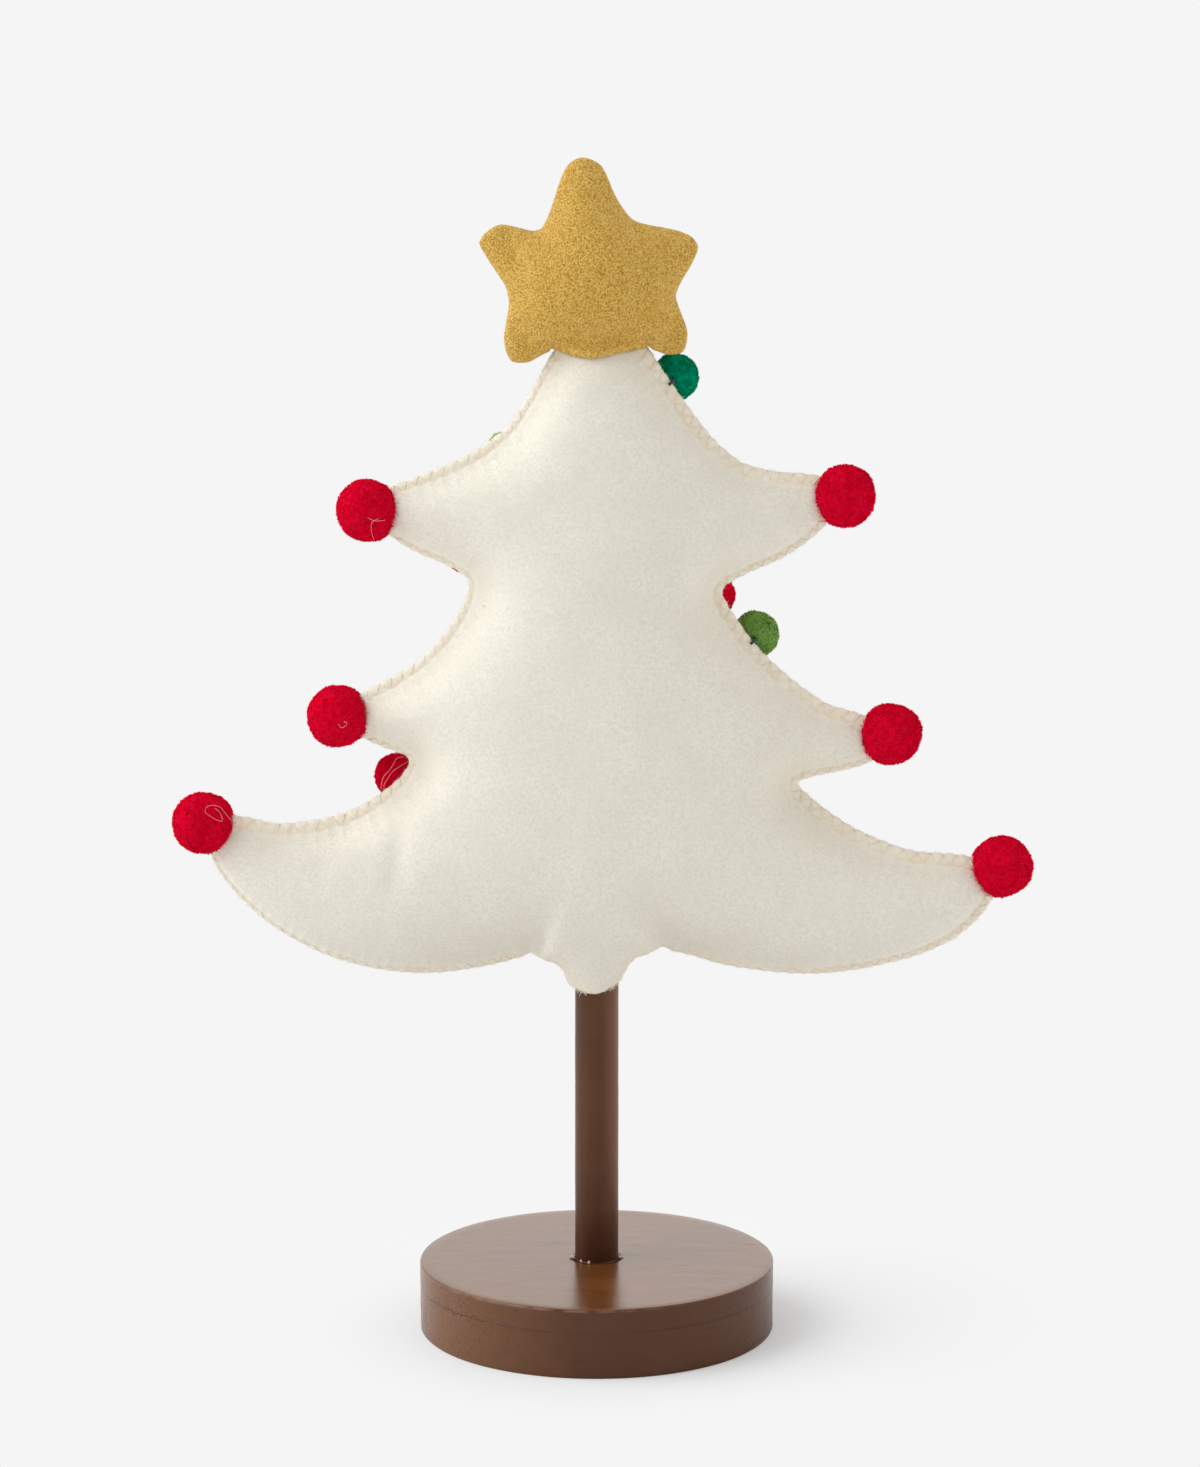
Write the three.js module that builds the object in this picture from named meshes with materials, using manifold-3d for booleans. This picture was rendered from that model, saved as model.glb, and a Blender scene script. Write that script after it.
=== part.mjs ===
// A tabletop Christmas tree: two felt panels whip-stitched over stuffing on a wooden stand, with
// a stuffed star as a cap, pom-poms on the branch tips and pom-pom garlands across the front.
// Millimetres, +Z up, the plain back of the tree towards -Y. The origin is the centre of the
// underside of the base, on the axis of the pole.
import * as THREE from 'three';
import { mergeVertices } from 'three/addons/utils/BufferGeometryUtils.js';
import Module from 'manifold-3d';

const wasm = await Module();
wasm.setup();

// Stand
const baseDiameter = 154;
const lowerPlyThickness = 20;
const upperPlyThickness = 10;
const plyEdge = 1;
const poleDiameter = 19;
const poleShowing = 120;
const poleBelowApex = 55;
const socketInLowerPly = 12;
const glueBeadWidth = 2.2;
const glueBeadHeight = 2.6;

// Tree: its width and height over the felt, and how it is sewn
const treeWidth = 338;
const treeHeight = 288;
const treePuff = 30;
const feltThickness = 2.2;
const seamAllowance = 5.3;
const stitchThread = 0.6;
const treeNet = 17;

// Star
const starWidth = 92;
const starHeight = 85;
const starPuff = 17;
const starCloth = 1.6;
const starOverApex = 18.4;
const starOffCentre = 3.2;
const starNet = 9.5;

// Pom-poms and garlands
const tipPomDiameter = 26;
const tipPomReach = 6.3;
const garlandPomDiameter = 19.4;
const garlandBareYarn = 5;
const yarnDiameter = 1.4;
const yarnStep = 4.2;
const tieStep = 1.5;
const tieHold = 3.2;

// Clearances
const fit = 0.3;
const softFit = 0.5;

// How finely the shapes are drawn
const woodSides = 48;
const beadSides = 24;
const yarnSides = 8;
const boreSides = 4;
const samplesPerPlace = 2;
const garlandSamples = 24;
const pomDetail = 1;
const settleSweeps = 400;
const ringClearShare = 0.93;
const crowdShare = 0.2;
const riseRingShare = 0.33;
const meetShare = 0.001;
const farTimes = 1000;

// Outline of the tree from the apex down the left side: shares of its width from the pole's axis
// and of its height from its lowest edge. Hand cut, so the two sides differ. The places where
// each blunt branch tip begins, and the two between which the hem is left open, have names.
const treeOutlineShares = [
  [0.004, 1.000], [-0.033, 0.985], [-0.064, 0.932], [-0.110, 0.845], [-0.174, 0.793],
  [-0.251, 0.757], [-0.268, 0.742, 'upper_left'], [-0.269, 0.693], [-0.223, 0.654],
  [-0.162, 0.615], [-0.183, 0.551], [-0.230, 0.492], [-0.291, 0.451],
  [-0.308, 0.434, 'middle_left'], [-0.308, 0.390], [-0.269, 0.365], [-0.238, 0.347],
  [-0.257, 0.313], [-0.319, 0.268], [-0.407, 0.252],
  [-0.472, 0.263, 'lower_left'], [-0.494, 0.218], [-0.447, 0.129], [-0.361, 0.059],
  [-0.278, 0.029], [-0.200, 0.024], [-0.122, 0.039],
  [-0.086, 0.049, 'hem_start'], [-0.050, 0.038], [-0.032, 0.008], [-0.002, 0.000],
  [0.026, 0.011], [0.044, 0.042], [0.082, 0.059, 'hem_end'],
  [0.162, 0.036], [0.272, 0.022], [0.375, 0.039], [0.460, 0.079],
  [0.509, 0.153, 'lower_right'], [0.488, 0.197], [0.403, 0.210], [0.325, 0.246],
  [0.269, 0.294], [0.256, 0.313], [0.315, 0.331],
  [0.358, 0.354, 'middle_right'], [0.348, 0.407], [0.291, 0.432], [0.219, 0.497],
  [0.175, 0.561], [0.160, 0.603], [0.233, 0.647],
  [0.295, 0.709, 'upper_right'], [0.289, 0.764], [0.232, 0.775], [0.181, 0.790],
  [0.136, 0.838], [0.082, 0.926], [0.044, 0.984],
];
const branchNames = [
  'upper_left', 'middle_left', 'lower_left', 'lower_right', 'middle_right', 'upper_right',
];

// Outline of the star from its top point down the right side, as shares of its width from its
// middle and of its height from its feet. The hem that slips over the tree has its ends named.
const starOutlineShares = [
  [-0.036, 0.999], [0.055, 0.960], [0.109, 0.839], [0.200, 0.697], [0.342, 0.658],
  [0.460, 0.619], [0.497, 0.555], [0.424, 0.399], [0.397, 0.315], [0.448, 0.158],
  [0.430, 0.049], [0.357, 0.035], [0.274, 0.064, 'hem_start'], [0.137, 0.044],
  [0.013, 0.020], [-0.096, 0.035], [-0.165, 0.059, 'hem_end'], [-0.270, 0.000],
  [-0.357, 0.005], [-0.389, 0.118], [-0.366, 0.281], [-0.388, 0.384], [-0.497, 0.570],
  [-0.483, 0.619], [-0.401, 0.673], [-0.264, 0.643], [-0.214, 0.658], [-0.155, 0.809],
  [-0.104, 0.951],
];

// Garlands: where each end pom-pom sits and how far the middle sags, as shares of the tree's
// width and height, and the order of the pom-poms' colours from the right end
const garlandShares = {
  upper: { right: [0.099, 0.912], left: [-0.107, 0.791], sag: 0.03 },
  middle: { right: [0.146, 0.587], left: [-0.160, 0.655], sag: 0.095 },
  lower: { right: [0.202, 0.530], left: [-0.254, 0.316], sag: 0.10 },
};
const garlandColours = {
  upper: ['emerald', 'red', 'olive', 'crimson', 'lime'],
  middle: ['red', 'lime', 'emerald', 'crimson', 'olive', 'emerald', 'crimson'],
  lower: ['olive', 'crimson', 'lime', 'emerald', 'red', 'olive', 'emerald', 'lime', 'crimson'],
};
const pomSinkShare = 0.12;
const tieStartShare = 0.35;

// Places that follow from the sizes
const baseThickness = lowerPlyThickness + upperPlyThickness;
const treeBottom = baseThickness + poleShowing;
const treeTop = treeBottom + treeHeight;
const starBottom = treeTop - starOverApex;
const poleTop = treeTop - poleBelowApex;
const poleRadius = poleDiameter / 2;
const feltFace = fit / 2 + feltThickness;
const pomRadius = garlandPomDiameter / 2;
const yarnRadius = yarnDiameter / 2;
const threadReach = fit + stitchThread + fit;

// Finishes
function finish(colour, roughness) {
  return new THREE.MeshStandardMaterial({ color: colour, roughness, metalness: 0 });
}
const finishes = {
  paintedWood: finish('#5d3e2c', 0.4),
  glue: finish('#4a2a18', 0.2),
  ivoryFelt: finish('#ece6d8', 0.95),
  stuffing: finish('#f2f0ea', 1),
  thread: finish('#e6d3b4', 0.8),
  mustardWool: finish('#c69a45', 0.95),
  greenYarn: finish('#14322c', 0.85),
};
const pomFinishes = {
  red: finish('#c80a26', 1),
  crimson: finish('#a80822', 1),
  emerald: finish('#00704c', 1),
  olive: finish('#55802f', 1),
  lime: finish('#a9c66e', 1),
};

const tree = new THREE.Group();

// Adds a named piece; at gives the place of its own origin
function addPiece(name, geometry, material, at = new THREE.Vector3()) {
  const piece = new THREE.Mesh(geometry, material);
  piece.name = name;
  piece.position.copy(at);
  tree.add(piece);
}

// Cuts and joins
function solidFrom(geometry) {
  const bare = geometry.clone();
  bare.deleteAttribute('normal');
  bare.deleteAttribute('uv');
  const merged = mergeVertices(bare);
  return new wasm.Manifold(new wasm.Mesh({
    numProp: 3,
    vertProperties: new Float32Array(merged.attributes.position.array),
    triVerts: new Uint32Array(merged.index.array),
  }));
}

function geometryFrom(solid) {
  const mesh = solid.getMesh();
  const geometry = new THREE.BufferGeometry();
  geometry.setAttribute('position', new THREE.BufferAttribute(new Float32Array(mesh.vertProperties), 3));
  geometry.setIndex(new THREE.BufferAttribute(new Uint32Array(mesh.triVerts), 1));
  geometry.computeVertexNormals();
  return geometry;
}

// Takes every cutter away from a geometry
function cutBy(geometry, cutters) {
  return geometryFrom(cutters.reduce((solid, cutter) => solid.subtract(cutter), solidFrom(geometry)));
}

function cylinderOn(bottom, top, radius) {
  const geometry = new THREE.CylinderGeometry(radius, radius, top - bottom, woodSides);
  geometry.rotateX(Math.PI / 2);
  geometry.translate(0, 0, (bottom + top) / 2);
  return geometry;
}

// Flat plans: points are Vector2, x across and y up

// A smooth closed outline through places given as shares of a width and a height
function outlineThrough(shares, width, height, middle, bottom) {
  const places = shares.map(([across, up]) => {
    return new THREE.Vector3(middle + across * width, bottom + up * height, 0);
  });
  const curve = new THREE.CatmullRomCurve3(places, true, 'centripetal');
  const samples = curve.getPoints(samplesPerPlace * places.length);
  samples.pop();
  return samples.map((sample) => new THREE.Vector2(sample.x, sample.y));
}

function isInside(outline, point) {
  let inside = false;
  outline.forEach((a, i) => {
    const b = outline[(i + 1) % outline.length];
    const straddles = (a.y > point.y) !== (b.y > point.y);
    if (straddles && point.x < ((b.x - a.x) * (point.y - a.y)) / (b.y - a.y) + a.x) inside = !inside;
  });
  return inside;
}

// The nearest place on an outline, how far off it is and which way is out there
function nearestOnOutline(outline, point) {
  let nearest = { distance: Infinity };
  outline.forEach((a, i) => {
    const b = outline[(i + 1) % outline.length];
    const along = b.clone().sub(a);
    const share = THREE.MathUtils.clamp(point.clone().sub(a).dot(along) / along.lengthSq(), 0, 1);
    const place = a.clone().addScaledVector(along, share);
    const distance = place.distanceTo(point);
    if (distance < nearest.distance) {
      nearest = { distance, place, out: new THREE.Vector2(along.y, -along.x).normalize() };
    }
  });
  return nearest;
}

// The outward direction at each outline point; every outline runs counter-clockwise
function outwardsOf(outline) {
  return outline.map((_, i) => {
    const before = outline[(i + outline.length - 1) % outline.length];
    const after = outline[(i + 1) % outline.length];
    return new THREE.Vector2(after.y - before.y, before.x - after.x).normalize();
  });
}

function areaTwice(a, b, c) {
  return (b.x - a.x) * (c.y - a.y) - (c.x - a.x) * (b.y - a.y);
}

// The circle through three points, which tells whether a new point breaks their triangle
function triangleWithCircle(points, a, b, c) {
  const [pa, pb, pc] = [points[a], points[b], points[c]];
  const twice = 2 * areaTwice(pa, pb, pc);
  const [la, lb, lc] = [pa.lengthSq(), pb.lengthSq(), pc.lengthSq()];
  const centre = new THREE.Vector2(
    (la * (pb.y - pc.y) + lb * (pc.y - pa.y) + lc * (pa.y - pb.y)) / twice,
    (la * (pc.x - pb.x) + lb * (pa.x - pc.x) + lc * (pb.x - pa.x)) / twice,
  );
  return { corners: [a, b, c], centre, reach: centre.distanceToSquared(pa) };
}

// Joins points into well-shaped triangles, adding one point at a time
function triangulate(points) {
  const span = new THREE.Box2().setFromPoints(points);
  const middle = span.getCenter(new THREE.Vector2());
  const far = span.getSize(new THREE.Vector2()).length() * farTimes;
  const count = points.length;
  const all = points.concat([
    new THREE.Vector2(middle.x - far, middle.y - far),
    new THREE.Vector2(middle.x + far, middle.y - far),
    new THREE.Vector2(middle.x, middle.y + far),
  ]);
  let triangles = [triangleWithCircle(all, count, count + 1, count + 2)];
  for (let i = 0; i < count; i += 1) {
    const rim = new Map();
    const kept = [];
    for (const triangle of triangles) {
      if (triangle.centre.distanceToSquared(all[i]) >= triangle.reach) {
        kept.push(triangle);
      } else {
        const [a, b, c] = triangle.corners;
        for (const [from, to] of [[a, b], [b, c], [c, a]]) {
          if (!rim.delete(`${to},${from}`)) rim.set(`${from},${to}`, [from, to]);
        }
      }
    }
    for (const [from, to] of rim.values()) kept.push(triangleWithCircle(all, from, to, i));
    triangles = kept;
  }
  const corners = triangles.map((triangle) => triangle.corners);
  return corners.filter((three) => three.every((i) => i < count));
}

// Fills an outline with rings of points that follow it and a lattice of points further in.
// home names the outline point that each outline or ring point belongs to.
function fillOutline(outline, ringDepths, net) {
  const outwards = outwardsOf(outline);
  const points = outline.slice();
  const home = outline.map((_, i) => i);
  const ring = outline.map(() => -1);
  ringDepths.forEach((depth, level) => {
    outline.forEach((place, i) => {
      const point = place.clone().addScaledVector(outwards[i], -depth);
      const reach = isInside(outline, point) ? nearestOnOutline(outline, point).distance : 0;
      const crowded = points.some((other, k) => {
        return ring[k] === level && other.distanceTo(point) < net * crowdShare;
      });
      if (reach < depth * ringClearShare || crowded) return;
      points.push(point);
      home.push(i);
      ring.push(level);
    });
  });
  const innermost = ringDepths.length ? ringDepths[ringDepths.length - 1] : 0;
  const span = new THREE.Box2().setFromPoints(outline);
  const rowStep = net * Math.sin(Math.PI / 3);
  for (let row = 0; span.min.y + row * rowStep < span.max.y; row += 1) {
    for (let x = span.min.x + (row % 2) * (net / 2); x < span.max.x; x += net) {
      const point = new THREE.Vector2(x, span.min.y + row * rowStep);
      if (!isInside(outline, point)) continue;
      if (nearestOnOutline(outline, point).distance < innermost + net / 2) continue;
      points.push(point);
      home.push(-1);
      ring.push(ringDepths.length);
    }
  }
  const triangles = triangulate(points).filter(([a, b, c]) => {
    const centre = points[a].clone().add(points[b]).add(points[c]).divideScalar(3);
    return isInside(outline, centre);
  });
  return { outline, outwards, points, home, ring, triangles };
}

// How strongly each pair of neighbours in a plan pulls on each other, and the area at each point
function linksOf(plan) {
  const links = plan.points.map(() => new Map());
  const areas = plan.points.map(() => 0);
  for (const corners of plan.triangles) {
    const twice = areaTwice(...corners.map((i) => plan.points[i]));
    corners.forEach((apex, k) => {
      const [b, c] = [corners[(k + 1) % 3], corners[(k + 2) % 3]];
      const toB = plan.points[b].clone().sub(plan.points[apex]);
      const toC = plan.points[c].clone().sub(plan.points[apex]);
      const pull = toB.dot(toC) / twice / 2;
      links[b].set(c, (links[b].get(c) ?? 0) + pull);
      links[c].set(b, (links[c].get(b) ?? 0) + pull);
      areas[apex] += twice / 6;
    });
  }
  return { links, areas };
}

// A membrane over a plan, held at given points and blown up evenly by a load
function settle(plan, held, load) {
  const { links, areas } = linksOf(plan);
  const level = plan.points.map((_, i) => held.get(i) ?? 0);
  for (let sweep = 0; sweep < settleSweeps; sweep += 1) {
    for (let i = 0; i < level.length; i += 1) {
      if (held.has(i)) continue;
      let pull = 0;
      let sum = load * areas[i];
      for (const [other, strength] of links[i]) {
        pull += strength;
        sum += strength * level[other];
      }
      level[i] = sum / pull;
    }
  }
  return level;
}

// Stuffed depth at each point of a plan. The squared depth is the membrane, so the section across
// a limb is an ellipse and wide places swell more; heldDepths maps the points that stay put.
function stuffedDepths(plan, heldDepths, puff) {
  const heldFlat = new Map([...heldDepths.keys()].map((i) => [i, 0]));
  const heldSquares = new Map([...heldDepths].map(([i, depth]) => [i, depth * depth]));
  const swell = settle(plan, heldFlat, 1);
  const base = settle(plan, heldSquares, 0);
  const most = Math.max(...swell);
  return swell.map((value, i) => Math.sqrt(Math.max(0, base[i] + (puff * puff * value) / most)));
}

// The depth at any place of a plan, straight between the corners of its triangle
function depthAt(plan, depths, place) {
  for (const corners of plan.triangles) {
    const [a, b, c] = corners.map((i) => plan.points[i]);
    const twice = areaTwice(a, b, c);
    const parts = [areaTwice(place, b, c), areaTwice(a, place, c), areaTwice(a, b, place)];
    if (Math.min(...parts) >= 0) {
      return parts.reduce((sum, part, k) => sum + (part / twice) * depths[corners[k]], 0);
    }
  }
  return 0;
}

// The closed solid between two depths over a plan. Where the two meet, its faces share a corner.
function slab(points, triangles, back, front) {
  const corners = [];
  const backAt = points.map((point, i) => corners.push(point.x, back[i], point.y) / 3 - 1);
  const frontAt = points.map((point, i) => {
    if (front[i] - back[i] < fit * meetShare) return backAt[i];
    return corners.push(point.x, front[i], point.y) / 3 - 1;
  });
  const faces = [];
  const rim = new Map();
  const addFace = (...face) => {
    if (new Set(face).size === 3) faces.push(...face);
  };
  for (const [a, b, c] of triangles) {
    addFace(backAt[a], backAt[b], backAt[c]);
    addFace(frontAt[c], frontAt[b], frontAt[a]);
    for (const [from, to] of [[a, b], [b, c], [c, a]]) {
      if (!rim.delete(`${to},${from}`)) rim.set(`${from},${to}`, [from, to]);
    }
  }
  for (const [from, to] of rim.values()) {
    addFace(backAt[to], backAt[from], frontAt[from]);
    addFace(backAt[to], frontAt[from], frontAt[to]);
  }
  const geometry = new THREE.BufferGeometry();
  geometry.setAttribute('position', new THREE.BufferAttribute(new Float32Array(corners), 3));
  geometry.setIndex(faces);
  return geometry;
}

// Stand: two wooden plies glued together, with a socket that goes through the upper one
function ply(bottom, top, socketBottom) {
  const radius = baseDiameter / 2;
  const bore = poleRadius + fit;
  const throughBore = socketBottom <= bottom;
  const profile = [
    new THREE.Vector2(throughBore ? bore : 0, bottom),
    new THREE.Vector2(radius - plyEdge, bottom),
    new THREE.Vector2(radius, bottom + plyEdge),
    new THREE.Vector2(radius, top - plyEdge),
    new THREE.Vector2(radius - plyEdge, top),
    new THREE.Vector2(bore, top),
  ];
  if (throughBore) {
    profile.push(profile[0].clone());
  } else {
    profile.push(new THREE.Vector2(bore, socketBottom), new THREE.Vector2(0, socketBottom));
  }
  const geometry = new THREE.LatheGeometry(profile, woodSides);
  geometry.rotateX(Math.PI / 2);
  return geometry;
}

const socketBottom = lowerPlyThickness - socketInLowerPly;
addPiece('base_lower_ply', ply(0, lowerPlyThickness - fit, socketBottom), finishes.paintedWood);
addPiece('base_upper_ply', ply(lowerPlyThickness, baseThickness, lowerPlyThickness), finishes.paintedWood);
addPiece('pole', cylinderOn(socketBottom + fit, poleTop, poleRadius), finishes.paintedWood);

// Glue bead squeezed out round the foot of the pole
const beadInner = poleRadius + fit;
const beadBottom = baseThickness + fit;
const beadProfile = [
  new THREE.Vector2(beadInner, beadBottom),
  new THREE.Vector2(beadInner + glueBeadWidth, beadBottom),
  new THREE.Vector2(beadInner + glueBeadWidth / 2, beadBottom + glueBeadHeight / 2),
  new THREE.Vector2(beadInner, beadBottom + glueBeadHeight),
  new THREE.Vector2(beadInner, beadBottom),
];
const bead = new THREE.LatheGeometry(beadProfile, beadSides);
bead.rotateX(Math.PI / 2);
addPiece('pole_glue_bead', bead, finishes.glue);

// Tree plan: the outline, a ring on the stitch line and one where the stuffing has risen
const treeOutline = outlineThrough(treeOutlineShares, treeWidth, treeHeight, 0, treeBottom);
const riseRing = seamAllowance + treeNet * riseRingShare;
const treePlan = fillOutline(treeOutline, [seamAllowance, riseRing], treeNet);

// The outline point that the named place of a table became
function pointNamed(shares, name) {
  return samplesPerPlace * shares.findIndex((place) => place[2] === name);
}

const treeHemStart = pointNamed(treeOutlineShares, 'hem_start');
const treeHemEnd = pointNamed(treeOutlineShares, 'hem_end');

// The hem is held off the pole and falls to the seam on either side of it
const hemReach = Math.min(-treeOutline[treeHemStart].x, treeOutline[treeHemEnd].x);
function hemDepth(place) {
  const fall = THREE.MathUtils.smoothstep(Math.abs(place.x), poleRadius, hemReach);
  return (poleRadius + softFit) * (1 - fall);
}

const treeHeld = new Map();
treePlan.points.forEach((place, i) => {
  const inHem = treePlan.home[i] > treeHemStart && treePlan.home[i] < treeHemEnd;
  if (treePlan.ring[i] === -1) treeHeld.set(i, inHem ? hemDepth(place) : 0);
  if (treePlan.ring[i] === 0 && !inHem) treeHeld.set(i, 0);
});
const treeDepths = stuffedDepths(treePlan, treeHeld, treePuff);

function treeSlab(backFrom, frontFrom, points = treePlan.points) {
  return slab(points, treePlan.triangles, treeDepths.map(backFrom), treeDepths.map(frontFrom));
}

addPiece('tree_back_panel', treeSlab((d) => -d - feltFace, (d) => -d - fit / 2), finishes.ivoryFelt);
addPiece('tree_front_panel', treeSlab((d) => d + fit / 2, (d) => d + feltFace), finishes.ivoryFelt);

// The space that the sewn tree takes up, with clearance, for whatever sits on it
const treeGrown = treePlan.points.map((place, i) => {
  if (treePlan.ring[i] !== -1) return place;
  return place.clone().addScaledVector(treePlan.outwards[i], threadReach);
});
const treeReach = feltFace + softFit;
const treeSpace = solidFrom(treeSlab((d) => -d - treeReach, (d) => d + treeReach, treeGrown));

// Stuffing fills the panels up to the stitch line, round the pole
function stuffingDepth(depth) {
  return (depth * depth) / (depth + softFit);
}
const stuffedTriangles = treePlan.triangles.filter((corners) => {
  return corners.every((i) => treePlan.ring[i] !== -1);
});
const stuffing = slab(
  treePlan.points,
  stuffedTriangles,
  treeDepths.map((d) => -stuffingDepth(d)),
  treeDepths.map(stuffingDepth),
);
const poleSpace = solidFrom(cylinderOn(0, poleTop + fit, poleRadius + fit));
addPiece('tree_stuffing', cutBy(stuffing, [poleSpace]), finishes.stuffing);

// Whip-stitch thread, as the band that it makes round the felt edge, open at the hem
function threadBand() {
  const length = treeOutline.length - treeHemEnd + treeHemStart;
  const corners = [];
  for (let k = 0; k <= length; k += 1) {
    const i = (treeHemEnd + k) % treeOutline.length;
    const inner = treeOutline[i].clone().addScaledVector(treePlan.outwards[i], fit);
    const outer = inner.clone().addScaledVector(treePlan.outwards[i], stitchThread);
    corners.push(inner.x, -feltFace, inner.y, outer.x, -feltFace, outer.y);
    corners.push(outer.x, feltFace, outer.y, inner.x, feltFace, inner.y);
  }
  const faces = [];
  for (let k = 0; k < length; k += 1) {
    for (let side = 0; side < 4; side += 1) {
      const [a, b] = [4 * k + side, 4 * k + ((side + 1) % 4)];
      faces.push(a, b, b + 4, a, b + 4, a + 4);
    }
  }
  faces.push(0, 2, 1, 0, 3, 2);
  const last = 4 * length;
  faces.push(last, last + 1, last + 2, last, last + 2, last + 3);
  const geometry = new THREE.BufferGeometry();
  geometry.setAttribute('position', new THREE.BufferAttribute(new Float32Array(corners), 3));
  geometry.setIndex(faces);
  return geometry;
}
addPiece('tree_edge_thread', threadBand(), finishes.thread);

// Star: two panels sewn inside out and turned, open along a hem that slips over the apex.
// Its outline is turned round so that it runs counter-clockwise like the tree's.
const starOutline = outlineThrough(
  starOutlineShares,
  starWidth,
  starHeight,
  -starOffCentre,
  starBottom,
).reverse();
const starPlan = fillOutline(starOutline, [], starNet);
const starLast = starOutline.length - 1;
const starHemStart = starLast - pointNamed(starOutlineShares, 'hem_start');
const starHemEnd = starLast - pointNamed(starOutlineShares, 'hem_end');
const starHeld = new Map();
starOutline.forEach((place, i) => {
  const inHem = i > starHemEnd && i < starHemStart;
  const apexDepth = depthAt(treePlan, treeDepths, place) + treeReach;
  starHeld.set(i, inHem ? apexDepth : 0);
});
const starDepths = stuffedDepths(starPlan, starHeld, starPuff);
const starFace = fit / 2 + starCloth;

function starSlab(backFrom, frontFrom) {
  return slab(starPlan.points, starPlan.triangles, starDepths.map(backFrom), starDepths.map(frontFrom));
}
const starBack = starSlab((d) => -d - starFace, (d) => -d - fit / 2);
const starFront = starSlab((d) => d + fit / 2, (d) => d + starFace);
addPiece('star_back_panel', cutBy(starBack, [treeSpace]), finishes.mustardWool);
addPiece('star_front_panel', cutBy(starFront, [treeSpace]), finishes.mustardWool);
const starFill = starSlab((d) => -stuffingDepth(d), stuffingDepth);
addPiece('star_stuffing', cutBy(starFill, [treeSpace]), finishes.stuffing);
const starReach = starFace + softFit;
const starSpace = solidFrom(starSlab((d) => -d - starReach, (d) => d + starReach));

// Pom-poms are balls of wool that give way to whatever they are pressed against
const placedPoms = [];

function pomBall(radius) {
  return new THREE.IcosahedronGeometry(radius, pomDetail);
}

function addPom(name, centre, radius, colour, cutters) {
  const neighbours = placedPoms.filter((other) => {
    return other.centre.distanceTo(centre) < other.radius + radius + fit;
  });
  const squashes = neighbours.map((other) => {
    const ball = pomBall(other.radius + fit);
    ball.translate(...other.centre.toArray());
    return solidFrom(ball);
  });
  const ball = pomBall(radius);
  ball.translate(...centre.toArray());
  const seated = cutBy(ball, [treeSpace, starSpace, ...cutters, ...squashes]);
  seated.translate(...centre.clone().negate().toArray());
  addPiece(name, seated, pomFinishes[colour], centre);
  placedPoms.push({ centre, radius });
}

// One on each blunt branch tip, pushed on to the felt
for (const name of branchNames) {
  const tip = pointNamed(treeOutlineShares, name);
  const from = treeOutline[tip];
  const to = treeOutline[tip + samplesPerPlace];
  const middle = from.clone().add(to).divideScalar(2);
  const out = new THREE.Vector2(to.y - from.y, from.x - to.x).normalize();
  middle.addScaledVector(out, tipPomReach);
  addPom(`tip_pom_${name}`, new THREE.Vector3(middle.x, 0, middle.y), tipPomDiameter / 2, 'red', []);
}

// A yarn or thread along points, with a section of so many sides round a circle
function yarnAlong(points, radius, step, sides) {
  const path = new THREE.CatmullRomCurve3(points, false, 'centripetal');
  const section = new THREE.Shape();
  for (let side = 0; side < sides; side += 1) {
    const angle = (2 * Math.PI * side) / sides;
    const corner = new THREE.Vector2(Math.cos(angle), Math.sin(angle)).multiplyScalar(radius);
    if (side === 0) section.moveTo(corner.x, corner.y);
    else section.lineTo(corner.x, corner.y);
  }
  section.closePath();
  return new THREE.ExtrudeGeometry(section, {
    extrudePath: path,
    steps: Math.max(2, Math.round(path.getLength() / step)),
  });
}

// The bore that clears a yarn, for the pom-poms that it goes through. Its flats clear the yarn.
function boreAlong(points, step) {
  const radius = (yarnRadius + fit) / Math.cos(Math.PI / boreSides);
  return solidFrom(yarnAlong(points, radius, step, boreSides));
}

// A garland's pom-poms hang along a sagging line on the front of the tree, evenly spread
function garlandPlaces({ right, left, sag }) {
  const samples = [];
  const lift = feltFace + pomRadius * (1 - pomSinkShare);
  for (let k = 0; k <= garlandSamples; k += 1) {
    const share = k / garlandSamples;
    const across = THREE.MathUtils.lerp(right[0], left[0], share);
    const up = THREE.MathUtils.lerp(right[1], left[1], share) - sag * 4 * share * (1 - share);
    const place = new THREE.Vector2(across * treeWidth, treeBottom + up * treeHeight);
    samples.push(new THREE.Vector3(place.x, depthAt(treePlan, treeDepths, place) + lift, place.y));
  }
  const line = new THREE.CatmullRomCurve3(samples);
  const gaps = Math.max(1, Math.round(line.getLength() / (garlandPomDiameter + garlandBareYarn)));
  return line.getSpacedPoints(gaps);
}

// The thread that ties a garland's end over the felt edge: out of the pom-pom, round the edge
// and along the stitched margin on the back
function tiePoints(centre) {
  const { place, out } = nearestOnOutline(treeOutline, new THREE.Vector2(centre.x, centre.z));
  const clearFace = feltFace + fit + yarnRadius;
  const clearEdge = threadReach + yarnRadius;
  const at = (reach, depth) => {
    const spot = place.clone().addScaledVector(out, reach);
    return new THREE.Vector3(spot.x, depth, spot.y);
  };
  return [
    centre.clone().add(new THREE.Vector3(0, -pomRadius * tieStartShare, 0)),
    at(clearEdge, feltFace),
    at(clearEdge, -feltFace),
    at(clearEdge - yarnRadius, -clearFace),
    at(-tieHold, -clearFace),
  ];
}

const tiedGarlands = ['upper', 'lower'];

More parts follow.
